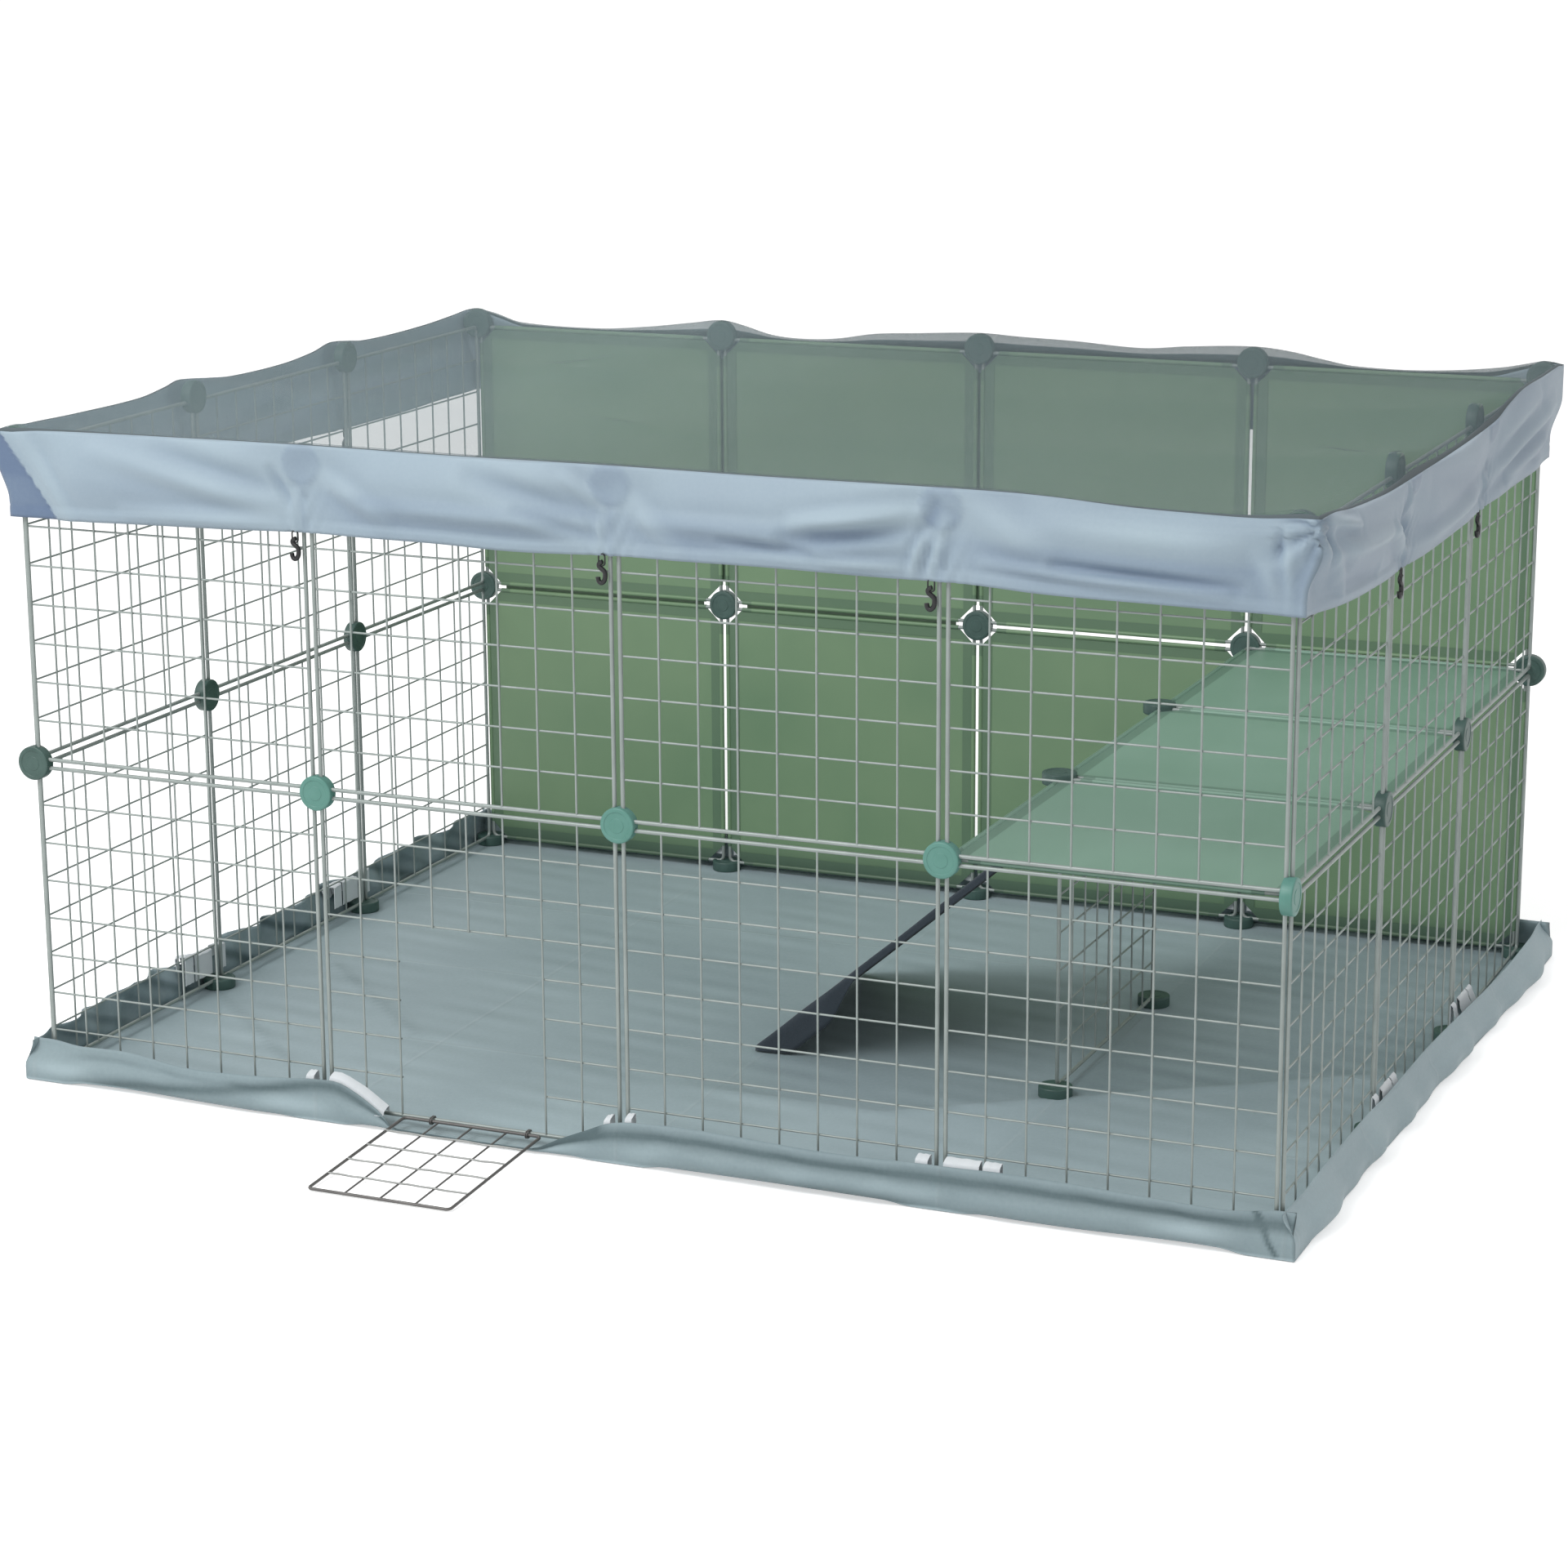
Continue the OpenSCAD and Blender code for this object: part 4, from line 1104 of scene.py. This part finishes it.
net_xs = net_spots(net_x, half_x, 160, net_over_x)
net_ys = net_spots(net_y, half_y, 120, net_over_y)
points = [(x, y, net_height(x, y)) for y in net_ys for x in net_xs]
bound = [float(abs(x) > net_x - 0.004 or abs(y) > net_y - 0.004) for y in net_ys for x in net_xs]
net = sewn("roof_netting", points, grid_quads(len(net_xs), len(net_ys)),
           [(x, y) for x, y, _ in points], bound, 0.0005)
netting = Finish("dark see-through netting", Specular_IOR_Level=0.25)
across, _, holes = woven(netting, 0.0024)
cloud = netting.noise(3.5, 3.0)
binding = netting.node("Attribute", out="Fac", attribute_name="shade")
yarn = netting.blend((cloud * 1.6 - 0.3).clamped(), srgb(108, 124, 128), srgb(120, 136, 140))
yarn = netting.blend((across * 2.5 + 1.0).clamped(), yarn, srgb(92, 107, 111))
netting.set(
    Base_Color=netting.blend(binding, yarn, srgb(84, 94, 98)),
    Roughness=0.62 + cloud * 0.1,
    Alpha=(0.35 + holes * 0.10 + cloud * 0.03 + binding * 0.7).clamped())
shown(net, netting.material, "net_cloth", "cover", "roof_net")
net.visible_shadow = net.visible_diffuse = False
2 * net_x + 0.006
2 * net_y + 0.018

# Skirt
# A band of smooth satin cloth is sewn round the net's edge and hangs outside the walls. The
# connectors press through it, it bellies between the posts, creases towards them and is folded
# at the corners. Painted shade and painted light in its colour follow these shapes.
skirt_rows = 28
# Height of the hem over the top joints
hem = {
    "front": ((0, -0.0800), (0.16, -0.0795), (0.42, -0.0772), (1, -0.0735), (1.43, -0.0728),
              (1.68, -0.0748), (2.1, -0.0725), (2.5, -0.0712), (2.9, -0.0736), (3.12, -0.0742),
              (3.33, -0.0772), (3.7, -0.0786), (4, -0.0810)),
    "right": ((0, -0.0810), (0.12, -0.0845), (0.46, -0.0920), (0.88, -0.0980), (1.35, -0.1010),
              (1.8, -0.0985), (2.35, -0.0958), (3, -0.0960)),
    "back": ((0, -0.0900), (1, -0.0810), (1.6, -0.0840), (2.3, -0.0800), (3, -0.0835), (4, -0.0960)),
    "left": ((0, -0.0800), (0.5, -0.0900), (1, -0.0940), (1.6, -0.0900), (2.4, -0.0940), (3, -0.0900))}
random_creases = random.Random(11)


def loose_creases(count, panels):
    """Long soft creases away from the posts, for the sides that show little."""
    made, between = [], random_creases.uniform
    for _ in range(count):
        post = random_creases.randint(0, panels)
        way = random_creases.choice((-1, 1)) if 0 < post < panels else (1 if post == 0 else -1)
        made.append((post + way * between(0.03, 0.1), between(0.15, 0.8),
                     post + way * between(0.3, 0.75), between(0.05, 0.9),
                     between(0.008, 0.016), between(-0.0040, 0.0048)))
    return made


# Creases of each side, as (s, v) to (s, v) with a width and a height. s counts panels from the
# left or front, and v runs from the seam, 0, to the hem, 1.
creases = {
    "front": [
        (0.30, 0.18, 0.96, 0.76, 0.011, 0.0026), (0.52, 0.16, 0.97, 0.56, 0.013, -0.0028),
        (0.02, 0.02, 0.20, 0.98, 0.008, 0.0030), (0.40, 0.86, 0.97, 0.90, 0.008, 0.0026),
        (0.90, 0.30, 0.95, 0.66, 0.006, -0.0042), (0.975, 0.55, 0.97, 0.95, 0.005, 0.0040),
        (1.05, 0.30, 1.28, 0.78, 0.010, 0.0030), (1.25, 0.64, 1.93, 0.66, 0.009, 0.0030),
        (1.58, 0.22, 1.95, 0.55, 0.013, -0.0048), (1.72, 0.55, 1.97, 0.82, 0.007, -0.0034),
        (1.86, 0.15, 1.96, 0.42, 0.007, 0.0036), (1.97, 0.50, 1.96, 0.94, 0.005, 0.0034),
        (2.04, 0.30, 2.20, 0.90, 0.011, 0.0030), (2.05, 0.60, 2.60, 0.60, 0.009, 0.0026),
        (2.35, 0.74, 2.62, 0.80, 0.005, -0.0030), (2.58, 0.48, 2.95, 0.27, 0.009, 0.0044),
        (2.55, 0.66, 2.93, 0.46, 0.009, -0.0044), (2.66, 0.88, 2.91, 0.86, 0.006, 0.0030),
        (2.99, 0.18, 2.93, 0.62, 0.006, -0.0060), (2.955, 0.42, 2.915, 0.95, 0.005, 0.0056),
        (3.02, 0.34, 2.965, 0.95, 0.005, 0.0050), (3.05, 0.15, 3.30, 0.58, 0.015, 0.0034),
        (3.12, 0.76, 3.81, 0.83, 0.006, 0.0036), (3.33, 0.70, 3.85, 0.75, 0.006, -0.0032),
        (3.30, 0.30, 3.90, 0.28, 0.015, 0.0030), (3.955, 0.12, 3.95, 0.42, 0.004, -0.0044),
        (3.975, 0.15, 3.985, 0.96, 0.005, 0.0034), (3.90, 0.40, 3.96, 0.90, 0.008, 0.0028)],
    "right": [
        (0.03, 0.10, 0.09, 0.48, 0.005, -0.0056), (0.05, 0.06, 0.30, 0.16, 0.006, 0.0050),
        (0.03, 0.25, 0.24, 0.80, 0.009, 0.0034), (0.12, 0.40, 0.74, 0.42, 0.009, 0.0046),
        (0.72, 0.42, 1.02, 0.82, 0.009, 0.0056), (0.86, 0.26, 0.99, 0.62, 0.011, -0.0056),
        (0.92, 0.03, 0.94, 0.36, 0.005, 0.0042), (0.20, 0.72, 0.60, 0.80, 0.009, -0.0030),
        (1.03, 0.84, 2.0, 0.70, 0.010, 0.0050), (2.0, 0.70, 2.85, 0.34, 0.011, 0.0052),
        (1.20, 0.20, 1.85, 0.50, 0.018, -0.0036), (2.15, 0.30, 2.6, 0.18, 0.013, 0.0036),
        (2.3, 0.85, 2.95, 0.62, 0.010, 0.0036)],
    "back": loose_creases(20, 4),
    "left": loose_creases(16, 3)}


def skirt_spot(face, s, v):
    """Point of the skirt at a place along its side: how far out it hangs, its height and its painted
    shade.
    """
    panels = panels_of(face)
    from_left, from_right = s * pitch + net_over_x, (panels - s) * pitch + net_over_x
    from_front = s * pitch + net_over_y
    s = clamp(s, 0.0, float(panels))
    start, stop = top_z + eased(s, *seam[face]), top_z + eased(s, *hem[face])
    tall = start - stop
    z = start - tall * v
    drop = abs(z - top_z)
    post = off_post(s)
    free = smooth(post / 0.10)
    from_end = min(s, panels - s) * pitch
    long = face in ("front", "back")
    if long:
        over = net_over_y - 0.0040 * smooth(v * 3) * (1 - free) * smooth(from_end / 0.05)
    else:
        corner = smooth((0.09 - from_end) / 0.06)
        over = (net_over_x - 0.0100 * smooth(v * 1.3) * (1 - corner)
                - 0.0125 * corner * smooth(v * 2.2 - 0.75))
    belly = 0.0125 if face == "right" and s < 1 else 0.0085
    swell = belly * free * (1 + 0.25 * math.sin(5.1 * s))
    swell *= math.sin(math.pi * min(1.0, v * 0.98) ** 0.85)
    flare = 0.0030 * smooth((v - 0.84) / 0.08) * free
    out = over + swell + flare
    # Painted shade: a base depth, more on the side walls, and more on the lower half of each belly,
    # which faces down.
    low_half = smooth((v - 0.44) / 0.16) * (1 - 0.6 * smooth((v - 0.82) / 0.06))
    shade = (0.06 if long else 0.20) + (0.34 if long else 0.12) * low_half * (0.35 + 0.65 * free)
    # On the front, more painted shade at its right end and less low down at its left end.
    if face == "front":
        shade += 0.12 * smooth(s - 2.9) - 0.26 * low_half * smooth((1.1 - s) / 0.2)
    for s0, v0, s1, v1, width, high in creases[face]:
        away, share = line_away(s * pitch, v * tall, s0 * pitch, v0 * tall, s1 * pitch, v1 * tall)
        if away < 4 * width:
            fade = math.sin(math.pi * (0.12 + 0.76 * share))
            ridge = hump(away, width) - 0.4 * hump(away - 1.6 * width, width)
            out += (0.5 + 0.5 * free) * 1.5 * high * fade * ridge
            # Painted light on the crease ridges and painted shade in their valleys.
            shade -= 55 * high * fade * ridge
    if 0 < round(s) < panels:
        disc = smooth((0.0255 - math.hypot(post, drop)) / 0.0055)
        line = hump(post, 0.003) * smooth((v - 0.38) / 0.1)
        crumple = hump(post, 0.028) * smooth((v - 0.38) / 0.15)
        out += 0.0018 * disc + 0.0020 * line
        out += 0.0014 * crumple * math.sin(post * 420 + v * 19 + panels * s)
        # Darker over the pressed disc, as painted shade and as the disc showing through the cloth, and
        # painted shade along the crease below it.
        shade += 0.28 * disc + 0.12 * line
    out -= 0.0009 * hump(v - 0.87, 0.014)
    if face == "front":
        tucked = smooth((0.007 + 0.068 * v - from_left) / 0.0025)
        out -= 0.0030 * tucked
        # Painted shade on the cloth tucked under the fold at the front left corner.
        shade += 0.95 * tucked
    if face in ("front", "right"):
        near = from_right if face == "front" else from_front
        down = (v - 0.10) * tall
        r, angle = math.hypot(near, down), math.atan2(down, near + 1e-6)
        fan = hump(r, 0.055) * smooth(r / 0.010) * math.sin(angle * 8 + 1)
        out += 0.0040 * fan
        # Painted shade in the valleys of the fan folds at the front right corner.
        shade += 0.35 * max(0.0, -fan)
    # Never inside the connectors' discs, which are seen edge-on at the ends of a side wall
    if not long and from_end < 0.012:
        hold = math.sqrt(max(0.0, (disc_r + 0.001) ** 2 - drop ** 2)) + 0.0012
    else:
        hold = 0.0045 + 0.0034 * smooth((0.0235 - math.hypot(post, drop)) / 0.0025)
    return max(out, hold), z, clamp(shade)


def skirt_point(face, station, count, v):
    """Point of the skirt in the pen's frame, and its shade. The sides meet at the corners."""
    long = face in ("front", "back")
    starts, stops = {"front": (("left", 0), ("right", 0)), "right": (("front", 4), ("back", 4)),
                     "back": (("right", 3), ("left", 3)), "left": (("back", 0), ("front", 0))}[face]
    begin, end = skirt_spot(*starts, v), skirt_spot(*stops, v)
    half, wall = (half_x, half_y) if long else (half_y, half_x)
    reach = net_over_x if long else net_over_y
    low = half + (reach if v == 0 else begin[0])
    high = half + (reach if v == 0 else end[0])
    along = -low + (low + high) * station / count
    place = along if face in ("front", "right") else -along
    out, z, shade = skirt_spot(face, (place + half) / pitch, v)
    if v == 0:
        out = net_over_y if long else net_over_x
    if station == 0:
        z = (z + begin[1]) / 2
    place = {"front": (along, -(wall + out)), "right": (wall + out, along),
             "back": (-along, wall + out), "left": (-(wall + out), -along)}[face]
    return (*place, z), shade


stations = [(face, 80 * panels_of(face)) for face in ("front", "right", "back", "left")]
points, flat, shade = [], [], []
for r in range(skirt_rows + 1):
    v = r / skirt_rows
    walked = 0.0
    for face, count in stations:
        for n in range(count):
            place, tone = skirt_point(face, n, count, v)
            points.append(place)
            shade.append(tone)
            flat.append((walked, v * 0.1))
            walked += panels_of(face) * pitch / count
around = sum(count for _, count in stations)
quads = [(r * around + c, (r + 1) * around + c, (r + 1) * around + (c + 1) % around,
          r * around + (c + 1) % around) for r in range(skirt_rows) for c in range(around)]
skirt = sewn("cover_skirt", points, quads, flat, shade, 0.0008)
skirt_cloth = cloth_finish("blue-grey satin skirt cloth", srgb(159, 177, 187), srgb(149, 166, 179),
                           srgb(96, 115, 142), 0.40, 0.0009, 0.2)
shown(skirt, skirt_cloth, "skirt_cloth", "cover", "skirt_front", "skirt_back", "skirt_left",
      "skirt_right")

# Ties
# A short loop of black elastic is sewn into the hem by each post between the corners, and a
# small black plastic hook hangs on it, to be hooked round a wire.
tie_shift = 0.011
hook_bends = ((0.0008, -0.0075), (-0.0030, -0.0090), (-0.0036, -0.0125), (0.0, -0.0150),
              (0.0034, -0.0175), (0.0038, -0.0220), (0.0030, -0.0265), (-0.0004, -0.0300),
              (-0.0042, -0.0280), (-0.0046, -0.0235))
loops, hooks = [], []
for side, n, x, y, turn in posts:
    way = 1 if side in ("back", "left") else -1
    out, z, _ = skirt_spot(side, n + way * tie_shift / pitch, 1.0)
    loop = rod_loop(0.007, 0.012, 0.0017, 0.0030, sides=2)
    loop.data.transform(at(0, 0, -0.0055))
    hook = bent_wire([(across, 0, down) for across, down in hook_bends], 0.0050)
    for part, group in ((loop, loops), (hook, hooks)):
        part.data.transform(at(x, y, z + 0.001, turn) @ at(-tie_shift, -out, 0))
        group.append(part)
loops = joined("tie_elastics", loops)
hooks = joined("tie_clips", hooks)
elastic = moulded("black elastic", srgb(14, 15, 17), srgb(26, 27, 30))
hook_plastic = moulded("black hook plastic", srgb(8, 9, 11), srgb(18, 19, 22))
shown(loops, elastic, "tie_elastic", "cover", "tie_loops")
shown(hooks, hook_plastic, "hook_plastic", "cover", "tie_hooks")

# Floor, light and background
# A plain white floor that keeps the pen's soft shadow, an even white sky, and one large soft
# lamp from the front left.
bpy.ops.object.select_all(action="DESELECT")
bpy.ops.mesh.primitive_plane_add(size=160, location=(0, 0, -0.0006))
floor = bpy.context.object
floor.name = "studio_floor"


def seen_or(nodes, other, seen):
    """A strength that is seen for rays from the camera, gloss and glass, and other for the rest."""
    camera_ray, gloss, glass = (nodes.node("LightPath", out=f"Is {kind} Ray")
                                for kind in ("Camera", "Glossy", "Transmission"))
    total = gloss.maths("ADD", camera_ray, gloss, clamp=True)
    return nodes.node("Mix", {0: glass.maths("ADD", total, glass, clamp=True), 2: other, 3: seen})


ground = bpy.data.materials.new("studio floor")
nodes = Nodes(ground)
matt = nodes.node("BsdfDiffuse", {"Color": (0.86, 0.86, 0.86, 1)})
glow = nodes.node("Emission", {"Strength": seen_or(nodes, 0.0, 0.50)})
nodes.node("OutputMaterial", {"Surface": nodes.node("AddShader", {0: matt, 1: glow})})
floor.data.materials.append(ground)

world = bpy.data.worlds.new("studio")
bpy.context.scene.world = world
nodes = Nodes(world)
sky = nodes.node("Background", {"Color": (1, 1, 1, 1), "Strength": seen_or(nodes, 0.68, 1.0)})
nodes.node("OutputWorld", {"Surface": sky})

lamp = bpy.data.objects.new("softbox", bpy.data.lights.new("softbox", "AREA"))
lamp.data.shape = "RECTANGLE"
lamp.data.size, lamp.data.size_y = 3.2, 2.4
lamp.data.energy = 150
lamp.location = (-1.4, -3.1, 3.9)
lamp.rotation_euler = (Vector((0, 0, 0.3)) - lamp.location).to_track_quat("-Z", "Y").to_euler()
bpy.context.scene.collection.objects.link(lamp)
bpy.context.scene.view_settings.view_transform = "Standard"
